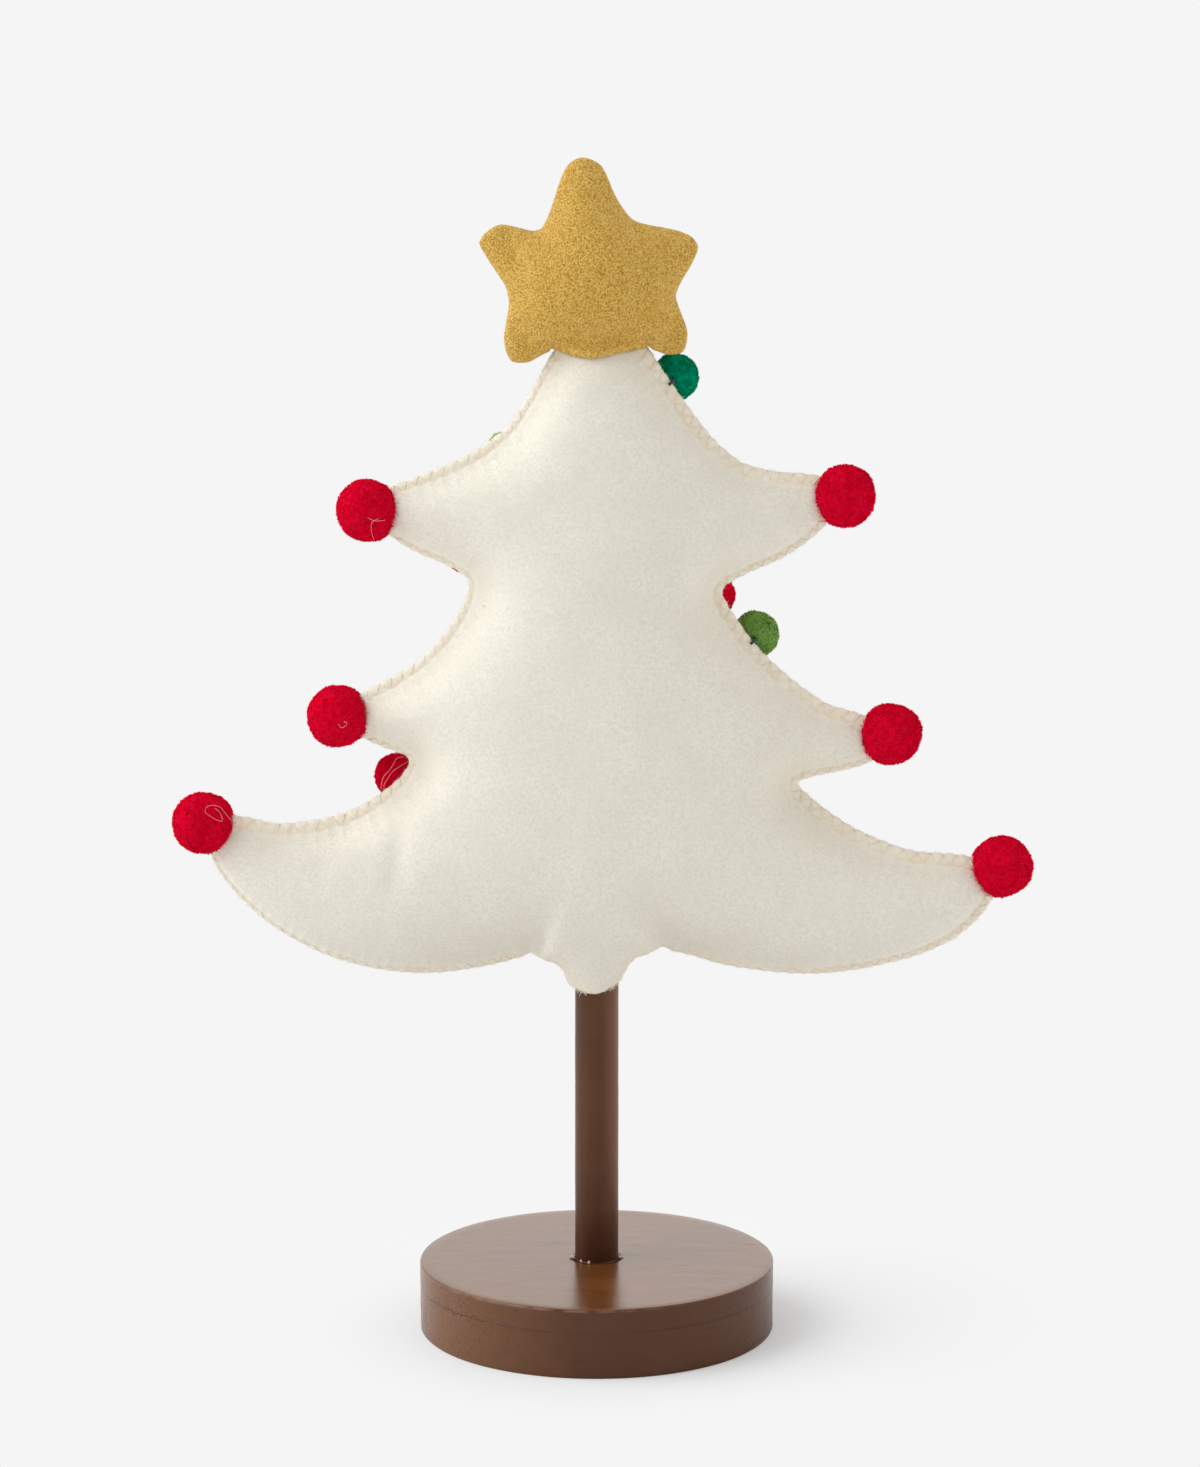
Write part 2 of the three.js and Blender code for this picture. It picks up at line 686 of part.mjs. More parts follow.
for (const [name, route] of Object.entries(garlandShares)) {
  const places = garlandPlaces(route);
  const yarn = yarnAlong(places, yarnRadius, yarnStep, yarnSides);
  addPiece(`garland_yarn_${name}`, yarn, finishes.greenYarn);
  const cutters = [boreAlong(places, yarnStep)];
  if (tiedGarlands.includes(name)) {
    const tie = tiePoints(places[0]);
    const thread = yarnAlong(tie, yarnRadius, tieStep, yarnSides);
    addPiece(`garland_tie_${name}`, thread, finishes.greenYarn);
    cutters.push(boreAlong(tie, tieStep));
  }
  const colours = garlandColours[name];
  places.forEach((centre, i) => {
    addPom(`garland_pom_${name}_${i + 1}`, centre, pomRadius, colours[i % colours.length], cutters);
  });
}

export default tree;
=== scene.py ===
import bpy
import math
import numpy as np
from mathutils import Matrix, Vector, geometry, noise
from mathutils.bvhtree import BVHTree
from mathutils.kdtree import KDTree


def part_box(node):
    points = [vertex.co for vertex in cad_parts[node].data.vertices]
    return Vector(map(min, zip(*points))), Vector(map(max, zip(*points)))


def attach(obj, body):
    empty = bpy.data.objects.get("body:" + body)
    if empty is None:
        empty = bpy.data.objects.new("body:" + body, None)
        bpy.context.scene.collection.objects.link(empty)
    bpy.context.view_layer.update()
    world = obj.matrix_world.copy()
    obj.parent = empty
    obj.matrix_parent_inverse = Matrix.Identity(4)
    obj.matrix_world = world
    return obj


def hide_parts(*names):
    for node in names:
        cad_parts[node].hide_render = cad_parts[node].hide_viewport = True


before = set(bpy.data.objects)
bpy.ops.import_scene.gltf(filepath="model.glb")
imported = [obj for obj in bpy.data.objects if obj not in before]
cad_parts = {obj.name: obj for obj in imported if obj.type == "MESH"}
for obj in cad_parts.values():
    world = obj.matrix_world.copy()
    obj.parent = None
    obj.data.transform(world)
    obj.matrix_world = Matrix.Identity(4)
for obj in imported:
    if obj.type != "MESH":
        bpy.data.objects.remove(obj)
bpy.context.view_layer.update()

# Camera
# It stands in front of the tree's plain back, level with the star, and looks slightly down at
# the middle of the tree, as the photograph was taken. Sizes are in metres, written in millimetres.
mm = 0.001
photo_width = 1200
focal_length_in_pixels = 3743.1
camera_distance = 1600 * mm
camera_climb = math.radians(8.47)
camera_aim = Vector((1.41, 0, 261.2)) * mm

camera = bpy.data.objects.new("camera", bpy.data.cameras.new("camera"))
camera.data.sensor_fit = "HORIZONTAL"
camera.data.lens = camera.data.sensor_width * focal_length_in_pixels / photo_width
backwards = Vector((0, -math.cos(camera_climb), math.sin(camera_climb)))
camera.location = camera_aim + camera_distance * backwards
camera.rotation_euler = (-backwards).to_track_quat("-Z", "Y").to_euler()
bpy.context.scene.collection.objects.link(camera)
bpy.context.scene.camera = camera

# Base
# Two round plies of wood glued together, the thicker one below, with their edges sanded round.
# Brown satin paint lies thin over the grain. The side is painted lighter on the left and a little
# darker on the right, as painted light and shade, with painted shade in the pores and the line
# between the plies at the sides, and a painted highlight along the top rim.
low, high = (np.array(corner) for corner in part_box("base_lower_ply"))
base_radius = (high[0] - low[0]) / 2
base_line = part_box("base_upper_ply")[0][2]
base_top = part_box("base_upper_ply")[1][2]
pole_low, pole_high = (np.array(corner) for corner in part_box("pole"))
pole_radius = (pole_high[0] - pole_low[0]) / 2
wood_gap = 0.3 * mm
bore = pole_radius + wood_gap
lower_ply_inset = 0.15 * mm
paint_line = 0.04 * mm
ply_sides = 240


def node(tree, kind, inputs=None, **settings):
    """Adds a shader node; an input is either a value or the output that feeds it"""
    made = tree.nodes.new(kind)
    for setting, value in settings.items():
        setattr(made, setting, value)
    for socket, value in (inputs or {}).items():
        if isinstance(value, bpy.types.NodeSocket):
            tree.links.new(value, made.inputs[socket])
        else:
            made.inputs[socket].default_value = value
    return made


def new_material(name, constants):
    """A material, its node tree and the place on its piece; constants are the shader's, by name"""
    material = bpy.data.materials.new(name)
    material.use_nodes = True
    tree = material.node_tree
    for socket, value in constants.items():
        tree.nodes["Principled BSDF"].inputs[socket].default_value = value
    return material, tree, node(tree, "ShaderNodeTexCoord").outputs["Object"]


def linear(colour):
    """A colour as the eye names it, 0 to 255, as the amounts of light that a shader wants"""
    shares = [part / 255 for part in colour]
    light = [s / 12.92 if s <= 0.04045 else ((s + 0.055) / 1.055) ** 2.4 for s in shares]
    return (*light, 1)


def mixed(tree, share, first, second):
    """A mix of two colours, each the output of a node or a colour from 0 to 255"""
    first, second = (c if isinstance(c, bpy.types.NodeSocket) else linear(c) for c in (first, second))
    return node(tree, "ShaderNodeMix", {0: share, 6: first, 7: second}, data_type="RGBA").outputs[2]


def ramp(tree, value, low, high):
    """Turns a value between low and high into 0 to 1"""
    spread = node(tree, "ShaderNodeMapRange", {"Value": value, "From Min": low, "From Max": high})
    return spread.outputs["Result"]


def maths(tree, operation, *values):
    """The output of a sum; each value is a number or an output"""
    return node(tree, "ShaderNodeMath", dict(enumerate(values)), operation=operation).outputs[0]


def clouds(tree, place, scale, detail, roughness=0.5):
    """Cloudy noise of 0 to 1; scale is about how many clouds go into a metre"""
    return node(tree, "ShaderNodeTexNoise", {
        "Vector": place, "Scale": scale, "Detail": detail, "Roughness": roughness}).outputs["Fac"]


def colour_with(tree, colour):
    """Feeds a colour to the shader"""
    tree.links.new(colour, tree.nodes["Principled BSDF"].inputs["Base Color"])


def relief(tree, height, strength, distance, invert=False):
    """Raises the surface by a height, or sinks it when inverted, on top of any earlier relief"""
    normal = tree.nodes["Principled BSDF"].inputs["Normal"]
    bump = node(tree, "ShaderNodeBump", {"Height": height, "Strength": strength, "Distance": distance},
                invert=invert)
    if normal.links:
        tree.links.new(normal.links[0].from_socket, bump.inputs["Normal"])
    tree.links.new(bump.outputs["Normal"], normal)


def new_piece(name, points, faces, materials, marks=None, looks=None):
    """A closed mesh piece on the root body, in the place of the solid of that name. faces is a list
    of arrays of corner numbers, marks holds values of the points that a material reads, by name,
    and looks has a material number for each face."""
    corners = np.concatenate([np.asarray(group, np.int32).ravel() for group in faces])
    sizes = np.concatenate([np.full(len(group), len(group[0]), np.int32) for group in faces])
    mesh = bpy.data.meshes.new(name)
    mesh.vertices.add(len(points))
    mesh.vertices.foreach_set("co", np.asarray(points, np.float32).ravel())
    mesh.loops.add(len(corners))
    mesh.loops.foreach_set("vertex_index", corners)
    mesh.polygons.add(len(sizes))
    mesh.polygons.foreach_set("loop_start", np.concatenate([[0], np.cumsum(sizes)[:-1]]))
    mesh.polygons.foreach_set("use_smooth", np.ones(len(sizes), bool))
    for material in materials:
        mesh.materials.append(material)
    if looks is not None:
        mesh.polygons.foreach_set("material_index", np.asarray(looks, np.int32))
    mesh.update(calc_edges=True)
    for mark, values in (marks or {}).items():
        attribute = mesh.attributes.new(mark, "FLOAT", "POINT")
        attribute.data.foreach_set("value", np.asarray(values, np.float32))
    piece = bpy.data.objects.new(name, mesh)
    bpy.context.scene.collection.objects.link(piece)
    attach(piece, "root")
    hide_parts(name)
    return piece


def noise_at(points, size, seed=0):
    """Smooth noise from about -1 to 1 at each point, with lumps of about that size"""
    shift = Vector((seed * 17.3, seed * 5.1, seed * 9.7))
    return np.array([noise.noise(Vector(point) / size + shift) for point in points])


def circle_of(sides):
    """Points round a level circle of radius 1"""
    turns = np.arange(sides) * 2 * math.pi / sides
    return np.stack([np.cos(turns), np.sin(turns), np.zeros(sides)], axis=1)


def turned(profile, sides):
    """Points and faces of a round solid whose profile of (radius, height) starts and ends on the
    axis, or closes on itself"""
    points = [circle_of(sides) * radius + (0, 0, height) if radius else np.array([(0, 0, height)])
              for radius, height in profile]
    starts = np.cumsum([0] + [len(ring) for ring in points])
    faces = []
    for a in range(len(profile) - (profile[0][0] == 0)):
        b = (a + 1) % len(profile)
        for k in range(sides):
            pairs = [(a, k), (a, (k + 1) % sides), (b, (k + 1) % sides), (b, k)]
            corners = [starts[row] + (spot if profile[row][0] else 0) for row, spot in pairs]
            faces.append(list(dict.fromkeys(corners)))
    groups = [[face for face in faces if len(face) == corners] for corners in (4, 3)]
    return np.concatenate(points), [group for group in groups if group]


def rounded(centre_radius, centre_height, radius, start, end, steps=5):
    """Profile points round a corner, between two angles in degrees"""
    turns = np.radians(np.linspace(start, end, steps))
    return [(centre_radius + radius * math.cos(t), centre_height + radius * math.sin(t)) for t in turns]


def painted_wood(name, colour, streak_colour, grain, gloss, clear, constants):
    """Brown satin paint over wood whose grain runs along the axis that grain stretches least; clear
    is how clearly it stands out under the paint. Gives the material, its node tree, the place on
    its piece and its colour, which is yet to be used."""
    paint, tree, place = new_material(name, constants)
    along = node(tree, "ShaderNodeMapping", {"Vector": place, "Scale": grain}).outputs["Vector"]
    lines = clouds(tree, along, 1, 5)
    cloud = clouds(tree, place, 28, 3)
    relief(tree, clouds(tree, place, 1500, 2), 2 * clear, 0.15 * mm)
    relief(tree, lines, clear, 0.3 * mm)
    rough = node(tree, "ShaderNodeMapRange", {
        "Value": cloud, "To Min": gloss - 0.06, "To Max": gloss + 0.08}).outputs["Result"]
    tree.links.new(rough, tree.nodes["Principled BSDF"].inputs["Roughness"])
    shade = mixed(tree, ramp(tree, cloud, 0.35, 0.7), colour, streak_colour)
    return paint, tree, place, mixed(tree, ramp(tree, lines, 0.3, 0.9), shade, streak_colour)


# The top's lighter streaks are partly grain and partly painted light, for the light that falls on the top
# from above.
top_paint, tree, place, shade = painted_wood(
    "top_paint", (90, 51, 22), (114, 68, 34), (44, 150, 150), 0.17, 0.3,
    {"IOR": 1.6, "Specular Tint": (1, 0.86, 0.73, 1)})
along = node(tree, "ShaderNodeMapping", {
    "Vector": place, "Rotation": (0, 0, math.radians(4)), "Scale": (70, 520, 520)}).outputs["Vector"]
scratches = ramp(tree, clouds(tree, along, 1, 2), 0.66, 0.78)
colour_with(tree, mixed(tree, scratches, shade, (74, 40, 20)))
relief(tree, scratches, 0.5, 0.12 * mm, invert=True)

# The side is painted lighter to the left, as painted light from the lamp, and a little darker to
# the right, as painted shade.
side_paint, tree, place, shade = painted_wood(
    "side_paint", (92, 55, 31), (82, 47, 26), (14, 420, 420), 0.2, 0.45, {"IOR": 1.36})
spot = node(tree, "ShaderNodeSeparateXYZ", {"Vector": place}).outputs
at_left = ramp(tree, spot["X"], -8 * mm, -60 * mm)
at_right = ramp(tree, spot["X"], 15 * mm, 62 * mm)
# The sides where the light grazes, which the painted pits and painted line shade below follow
thin = maths(tree, "ADD", at_left, at_right)
shade = mixed(tree, at_left, shade, (117, 77, 50))
shade = mixed(tree, at_right, shade, (90, 52, 25))
# Open pores at the sides are painted as dark pits, painted shade where the light grazes them.
specks = clouds(tree, place, 1200, 2)
pits = maths(tree, "MULTIPLY", ramp(tree, specks, 0.58, 0.7), thin)
shade = mixed(tree, pits, shade, (72, 42, 27))
relief(tree, pits, 0.7, 0.3 * mm, invert=True)
# Painted shade darkens the line between the plies there too, and a painted highlight lines the top
# rim, most on the left.
wander = clouds(tree, place, 130, 4)
wavy = maths(tree, "MULTIPLY_ADD", wander, 6 * mm, spot["Z"])
ply_line_shade, run = thin, ramp(tree, spot["Z"], base_top - 1.5 * mm, base_top - 0.9 * mm)
for level in (ramp(tree, wavy, base_line + 1.9 * mm, base_line + 2.7 * mm),
              ramp(tree, wavy, base_line + 3.9 * mm, base_line + 2.9 * mm),
              ramp(tree, specks, 0.44, 0.58)):
    ply_line_shade = maths(tree, "MULTIPLY", ply_line_shade, level)
for level in (ramp(tree, spot["X"], 40 * mm, -10 * mm), ramp(tree, wander, 0.4, 0.56)):
    run = maths(tree, "MULTIPLY", run, level)
shade = mixed(tree, ply_line_shade, shade, (78, 46, 30))
colour_with(tree, mixed(tree, run, shade, (128, 95, 80)))


def base_ply(name, radius, bottom, top, bottom_edge, top_edge, bore_bottom):
    """One ply, bored for the pole, its two edges sanded round and its side a little uneven"""
    side = np.arange(bottom + bottom_edge, top - top_edge, 1.5 * mm)[1:]
    profile = rounded(radius - bottom_edge, bottom + bottom_edge, bottom_edge, -90, 0)
    profile += [(radius, height) for height in side]
    profile += rounded(radius - top_edge, top - top_edge, top_edge, 0, 90)
    across = np.arange(radius - top_edge - 4 * mm, bore + 2 * mm, -5 * mm)
    profile += [(r, top) for r in across] + [(bore, top)]
    if bore_bottom > bottom:
        profile = [(0, bottom)] + profile + [(bore, bore_bottom), (0, bore_bottom)]
    else:
        profile = [(bore, bottom)] + profile
    points, faces = turned(profile, ply_sides)
    reach = np.hypot(points[:, 0], points[:, 1])
    outer = reach > radius - 2 * mm
    uneven = 0.22 * mm * noise_at(points[outer] * (1, 1, 2.5), 26 * mm, seed=int(top / mm))
    uneven += 0.05 * mm * noise_at(points[outer] * (1, 1, 3), 3 * mm, seed=3)
    points[outer, :2] *= (1 + uneven / reach[outer])[:, None]
    # The paint has filled the line between the plies best at the front.
    filled = np.exp(-(points[:, 0] / (42 * mm)) ** 2) * (points[:, 1] < 0)
    filled *= (np.abs(points[:, 2] - base_line) < 0.8 * mm) & (reach > radius - 0.9 * mm)
    points[:, :2] *= (1 + filled * (radius - reach) / np.maximum(reach, 1 * mm))[:, None]
    on_top = [[points[face, 2].min() > base_top - 0.45 * mm for face in group] for group in faces]
    new_piece(name, points, faces, [side_paint, top_paint], looks=np.concatenate(on_top))


lower_socket = pole_low[2] - wood_gap
base_ply("base_lower_ply", base_radius - lower_ply_inset, 0, base_line - paint_line,
         1.0 * mm, 0.6 * mm, lower_socket)
base_ply("base_upper_ply", base_radius, base_line, base_top, 0.12 * mm, 0.8 * mm, base_line)

# Pole
# A round wooden dowel, glued into a socket that goes through the upper ply, and painted with the
# base. Its foot is painted darker as painted shade, with the dark reflection of the base, and its
# right side lighter as painted light.
pole_paint, tree, place, shade = painted_wood(
    "pole_paint", (102, 68, 47), (88, 56, 37), (500, 500, 16), 0.36, 0.2, {"IOR": 1.26})
spot = node(tree, "ShaderNodeSeparateXYZ", {"Vector": place}).outputs
# Painted shade and reflection darken the foot up to a wavy height, and painted light lightens the right side.
shade_height = maths(tree, "MULTIPLY_ADD", clouds(tree, place, 90, 3), 26 * mm, spot["Z"])
foot = ramp(tree, shade_height, base_top + 58 * mm, base_top + 12 * mm)
shade = mixed(tree, ramp(tree, spot["X"], 2 * mm, 9 * mm), shade, (124, 84, 60))
colour_with(tree, mixed(tree, foot, shade, (64, 30, 14)))

pole_sides = 96
pole_chamfer = 0.6 * mm
pole_heights = np.arange(pole_low[2] + 1 * mm, pole_high[2] - 1 * mm, 1.6 * mm)
pole_profile = [(0, pole_low[2]), (pole_radius - pole_chamfer, pole_low[2])]
pole_profile += [(pole_radius, height) for height in pole_heights]
pole_profile += [(pole_radius - pole_chamfer, pole_high[2]), (0, pole_high[2])]
points, faces = turned(pole_profile, pole_sides)
swell = 0.12 * mm * noise_at(points * (1, 1, 0.5), 9 * mm, seed=5)
swell += 0.05 * mm * noise_at(points, 2.5 * mm, seed=6)
reach = np.maximum(np.hypot(points[:, 0], points[:, 1]), 1 * mm)
points[:, :2] *= (1 + np.where(reach > pole_radius / 2, swell - 0.08 * mm, 0) / reach)[:, None]
new_piece("pole", points, faces, [pole_paint])

# Glue bead
# The glue that was squeezed out of the socket, set hard in small lumps round the pole's foot and
# painted over with the rest. It is glossier than the wood.
bead_sides = 160
bead_rings = 12
bead_inner = pole_radius + 0.05 * mm
bead_reach = 10.2
# Small pale spots painted as highlights on raised lumps of glue: their place across, their width
# in millimetres and how strongly they are painted
glints = [(-10.1, 0.25, 0.45), (-6.9, 0.4, 0.9), (-3.4, 0.5, 1), (10.1, 0.2, 0.35)]


def marked(tree, mark):
    """The value that a piece's points hold under a name"""
    return node(tree, "ShaderNodeAttribute", attribute_name=mark).outputs["Fac"]


def net_faces(rows, sides, closed):
    """The faces between rows of points that run round; closed joins the last row to the first"""
    row = np.arange(rows if closed else rows - 1)[:, None] * sides
    below = (row + sides) % (rows * sides)
    this = np.arange(sides)[None]
    following = (this + 1) % sides
    corners = [row + this, below + this, below + following, row + following]
    return np.stack(corners, axis=-1).reshape(-1, 4)


glue, tree, place = new_material("painted_glue", {"Roughness": 0.2, "IOR": 1.5})
blobs = clouds(tree, place, 700, 2)
covered = mixed(tree, blobs, (110, 66, 38), (84, 46, 24))
# Painted highlights: pale spots on the highest lumps
colour_with(tree, mixed(tree, marked(tree, "bare"), covered, (226, 212, 200)))
relief(tree, blobs, 0.3, 0.2 * mm)

circle = circle_of(bead_sides)
lumps = noise_at(circle * 10 * mm, 4.2 * mm, seed=8) + 0.5 * noise_at(circle * 10 * mm, 1.9 * mm, seed=9)
glint_spots = np.zeros(bead_sides)
for across, wide, bare in glints:
    from_chip = np.abs(circle[:, 0] * bead_reach - across)
    glint_spots = np.maximum(glint_spots, bare * np.exp(-(from_chip / wide) ** 2) * (circle[:, 1] < 0.1))
# The glue stands out in a spur on either side.
spurs = np.exp(-((np.abs(circle[:, 0]) - 1) / 0.012) ** 2)
bead_width = (np.clip(0.4 + 0.7 * lumps, 0.2, 1.1) + 0.5 * glint_spots + 1.7 * spurs) * mm
bead_height = (np.clip(0.3 + 0.5 * np.roll(lumps, 3), 0.15, 0.7) + 0.9 * glint_spots) * mm
rings = []
for ring in range(bead_rings):
    turn = ring * 2 * math.pi / bead_rings
    out = bead_inner + bead_width * (1 - math.cos(turn)) / 2
    rise = base_top + 0.02 * mm + bead_height * max(0, math.sin(turn)) ** 0.8
    rings.append(circle * out[:, None] + rise[:, None] * (0, 0, 1))
glint_share = np.tile(np.clip(1.3 * glint_spots - 0.2, 0, 1), bead_rings)
new_piece("pole_glue_bead", np.concatenate(rings), [net_faces(bead_rings, bead_sides, True)], [glue],
          {"bare": glint_share})

# Tree panels
# Two pieces of ivory wool felt cut to one outline by hand, laid edge to edge, sewn along a margin
# and stuffed through the hem, so that they are pressed flat along the seam and swell between.
felt_thickness = 2.2 * mm
seam_width = 3.5 * mm
stitch_pitch = 5.7 * mm
edge_rounding = 5.0 * mm
raw_edge_rounding = 1.4 * mm
rim_spacing = 1.05 * mm
net_spacing = 2.3 * mm
stitch_pull = 0.75 * mm
least_margin = 1.9 * mm
groove_width = 0.6 * mm
strand_spread = 0.47
hem_gape = 1.6 * mm
gape_reach = 1.7 * mm
tree_puff = -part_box("tree_back_panel")[0][1] - felt_thickness
meeting = 0.15 * mm


def rim_of(name):
    """The outline of a panel's outer face, in order, as rows of (across, depth, up)"""
    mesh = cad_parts[name].data
    mesh.calc_loop_triangles()
    triangles = np.array([triangle.vertices for triangle in mesh.loop_triangles])
    places = np.array([vertex.co for vertex in mesh.vertices])
    keys, same = np.unique(np.round(places / (0.001 * mm)).astype(np.int64), axis=0, return_inverse=True)
    places = keys * 0.001 * mm
    triangles = same.reshape(-1)[triangles]
    a, b, c = (places[triangles[:, k]] for k in range(3))
    facing = np.cross(b - a, c - a)
    outer = triangles[facing[:, 1] < -0.001 * np.linalg.norm(facing, axis=1)]
    sides = np.concatenate([outer[:, [0, 1]], outer[:, [1, 2]], outer[:, [2, 0]]])
    _, first, uses = np.unique(np.sort(sides, axis=1), axis=0, return_index=True, return_counts=True)
    follows = dict(sides[first[uses == 1]].tolist())
    start = min(follows)
    order = [start]
    while follows[order[-1]] != start:
        order.append(follows[order[-1]])
    return places[order]


def bend_between(before, start, end, beyond, share):
    """A place on the smooth line from start to end, whose neighbours are before and beyond"""
    return start + 0.5 * share * ((end - before) + share * (
        2 * before - 5 * start + 4 * end - beyond + share * (3 * (start - end) + beyond - before)))


def run_along(line):
    """How far along a line each of its points lies"""
    return np.concatenate([[0], np.cumsum(np.linalg.norm(np.diff(line, axis=0), axis=1))])


def at_marks(marks, run, line):
    """The places on a line at marks along its run"""
    return np.stack([np.interp(marks, run, line[:, k]) for k in range(line.shape[1])], axis=1)


def smooth_rim(corners, spacing):
    """A smooth closed line through the corners, with even spacing"""
    before, after, beyond = (np.roll(corners, shift, axis=0) for shift in (1, -1, -2))
    lines = [bend_between(before, corners, after, beyond, share) for share in np.arange(8) / 8]
    line = np.stack(lines, axis=1).reshape(-1, corners.shape[1])
    line = np.concatenate([line, line[:1]])
    run = run_along(line[:, [0, -1]])
    count = int(round(run[-1] / spacing))
    marks = np.arange(count) * run[-1] / count
    return at_marks(marks, run, line), marks, run[-1]


def unit(ways):
    """Directions made one long"""
    return ways / np.linalg.norm(ways, axis=-1, keepdims=True)


def outwards_of(rim):
    """The outward direction at each point of a rim that runs counter-clockwise"""
    along = np.roll(rim, -1, axis=0) - np.roll(rim, 1, axis=0)
    return unit(np.stack([along[:, 1], -along[:, 0]], axis=1))


def nearest(spots, others):
    """For each spot, the number of the nearest of the others and the distance to it"""
    finder = KDTree(len(others))
    for k, other in enumerate(others):
        finder.insert((*other, 0)[:3], k)
    finder.balance()
    found = [finder.find((*spot, 0)[:3]) for spot in spots]
    return np.array([k for _, k, _ in found], int), np.array([distance for _, _, distance in found])


def fill_plan(rim, depths, net):
    """Fills a rim with rings of points that follow it, at depths of one value or one a rim point,
    and an even net of points further in, and joins them all with triangles. Gives the points,
    each point's rim neighbour and depth, and the triangles."""
    out = outwards_of(rim)
    depths = [np.broadcast_to(depth, len(rim)) for depth in depths]
    points, homes, reaches = [rim], [np.arange(len(rim))], [np.zeros(len(rim))]

    def keep(spots, least, homes_of=None):
        """Keeps the spots that are inside the rim and far enough from it"""
        home, reach = nearest(spots, rim)
        inside = ((spots - rim[home]) * out[home]).sum(axis=1) < 0
        home = home if homes_of is None else homes_of
        kept = inside & (reach > least[home])
        points.append(spots[kept])
        homes.append(home[kept])
        reaches.append(reach[kept])

    for depth in depths:
        keep(rim - out * depth[:, None], 0.96 * depth, np.arange(len(rim)))
    low, high = rim.min(axis=0), rim.max(axis=0)
    row_step = net * math.sin(math.pi / 3)
    lattice = []
    for row in range(int((high[1] - low[1]) / row_step) + 1):
        spots = np.arange(low[0] + (row % 2) * net / 2, high[0], net)
        lattice.append(np.stack([spots, np.full(len(spots), low[1] + row * row_step)], axis=1))
    keep(np.concatenate(lattice), depths[-1] + 0.6 * net)
    points, homes, reaches = np.concatenate(points), np.concatenate(homes), np.concatenate(reaches)
    # Rings that meet in a narrow tip can land on each other; the later point goes.
    _, first = np.unique(np.round(points / (0.15 * mm)).astype(np.int64), axis=0, return_index=True)
    kept = np.zeros(len(points), bool)
    kept[first] = True
    kept[:len(rim)] = True
    points, homes, reaches = points[kept], homes[kept], reaches[kept]
    scaled = [Vector(point / mm) for point in points]
    made = geometry.delaunay_2d_cdt(scaled, [], [list(range(len(rim)))], 1, 1e-6)
    original = np.array([origins[0] for origins in made[3]])
    triangles = original[np.array(made[2])]
    a, b, c = (points[triangles[:, k]] for k in range(3))
    turn = (b[:, 0] - a[:, 0]) * (c[:, 1] - a[:, 1]) - (c[:, 0] - a[:, 0]) * (b[:, 1] - a[:, 1])
    triangles[turn < 0] = triangles[turn < 0][:, ::-1]
    return points, homes, reaches, triangles


def membrane(points, triangles, held, values, load, most_steps=1500):
    """A skin over the plan, held at given points and blown up evenly by a load"""
    count = len(points)
    pulls, areas = [], np.zeros(count)
    for k in range(3):
        apex, b, c = (triangles[:, (k + shift) % 3] for shift in range(3))
        to_b, to_c = points[b] - points[apex], points[c] - points[apex]
        twice = np.maximum(np.abs(to_b[:, 0] * to_c[:, 1] - to_b[:, 1] * to_c[:, 0]), (0.01 * mm) ** 2)
        pulls.append((b, c, (to_b * to_c).sum(axis=1) / twice / 2))
        areas += np.bincount(apex, twice / 6, count)
    first, second, pull = (np.concatenate([row[k] for row in pulls]) for k in range(3))
    total = np.bincount(first, pull, count) + np.bincount(second, pull, count)
    free = ~held

    def unbalance(level):
        """How hard each point is pulled towards its neighbours"""
        drawn = np.bincount(first, pull * level[second], count)
        return total * level - drawn - np.bincount(second, pull * level[first], count)

    level = np.where(held, values, 0.0)
    rest = np.where(free, load * areas - unbalance(level), 0)
    scale = np.where(free, 1 / np.maximum(total, 1e-9), 0)
    move = scale * rest
    size = rest @ move
    for _ in range(most_steps):
        push = np.where(free, unbalance(move), 0)
        step = size / max(move @ push, 1e-300)
        level += step * move
        rest -= step * push
        next_size = rest @ (scale * rest)
        if next_size < 1e-12 * max(load, 1e-9) ** 2 * areas.mean() ** 2:
            break
        move = scale * rest + (next_size / size) * move
        size = next_size
    return level


def smoothstep(value, low, high):
    """An even turn from 0 at low to 1 at high"""
    share = np.clip((value - low) / (high - low), 0, 1)
    return share * share * (3 - 2 * share)


# The felt is held off the pole at the hem: it wraps round the pole and runs straight to the seam.
tree_corners = rim_of("tree_back_panel")
seam_face = -tree_corners[:, 1].max()
tree_line, tree_marks, tree_length = smooth_rim(tree_corners, rim_spacing)
in_hem = -tree_line[:, 1] > seam_face + 0.05 * mm
hem_reach = np.abs(tree_line[in_hem, 0]).max()
pole_hold = pole_radius + 0.35 * mm


def hem_depth(across):
    """How far the felt stands off the tree's middle plane where it goes over the pole"""
    contact = pole_hold ** 2 / hem_reach
    lift = pole_hold * math.sqrt(1 - (pole_hold / hem_reach) ** 2)
    straight = lift * (hem_reach - np.abs(across)) / (hem_reach - contact)
    round_pole = np.sqrt(np.maximum(pole_hold ** 2 - across ** 2, 0))
    return np.maximum(np.where(np.abs(across) < contact, round_pole, straight), 0)


def upright(flat, depth=0.0):
    """Rows of (across, up) as rows of (across, depth, up)"""
    return np.stack([flat[:, 0], np.broadcast_to(depth, len(flat)), flat[:, 1]], axis=1)


def roundness(reach, radius):
    """The height of a rounded edge, from 0 at the edge to 1"""
    return np.sqrt(np.maximum(1 - (1 - np.minimum(reach / radius, 1)) ** 2, 0))


# Each whip stitch pulls the edge in, so that it bulges between the stitches. stitch_phase is 0
# where a stitch crosses the edge and 1 at the next one.
stitch_count = int(round(tree_length / stitch_pitch))
stitch_phase = tree_marks / tree_length * stitch_count
bulge = np.abs(np.sin(math.pi * stitch_phase)) ** 0.7
rim = tree_line[:, [0, 2]]
rim = rim - outwards_of(rim) * np.where(in_hem, 0, stitch_pull * (1 - bulge))[:, None]
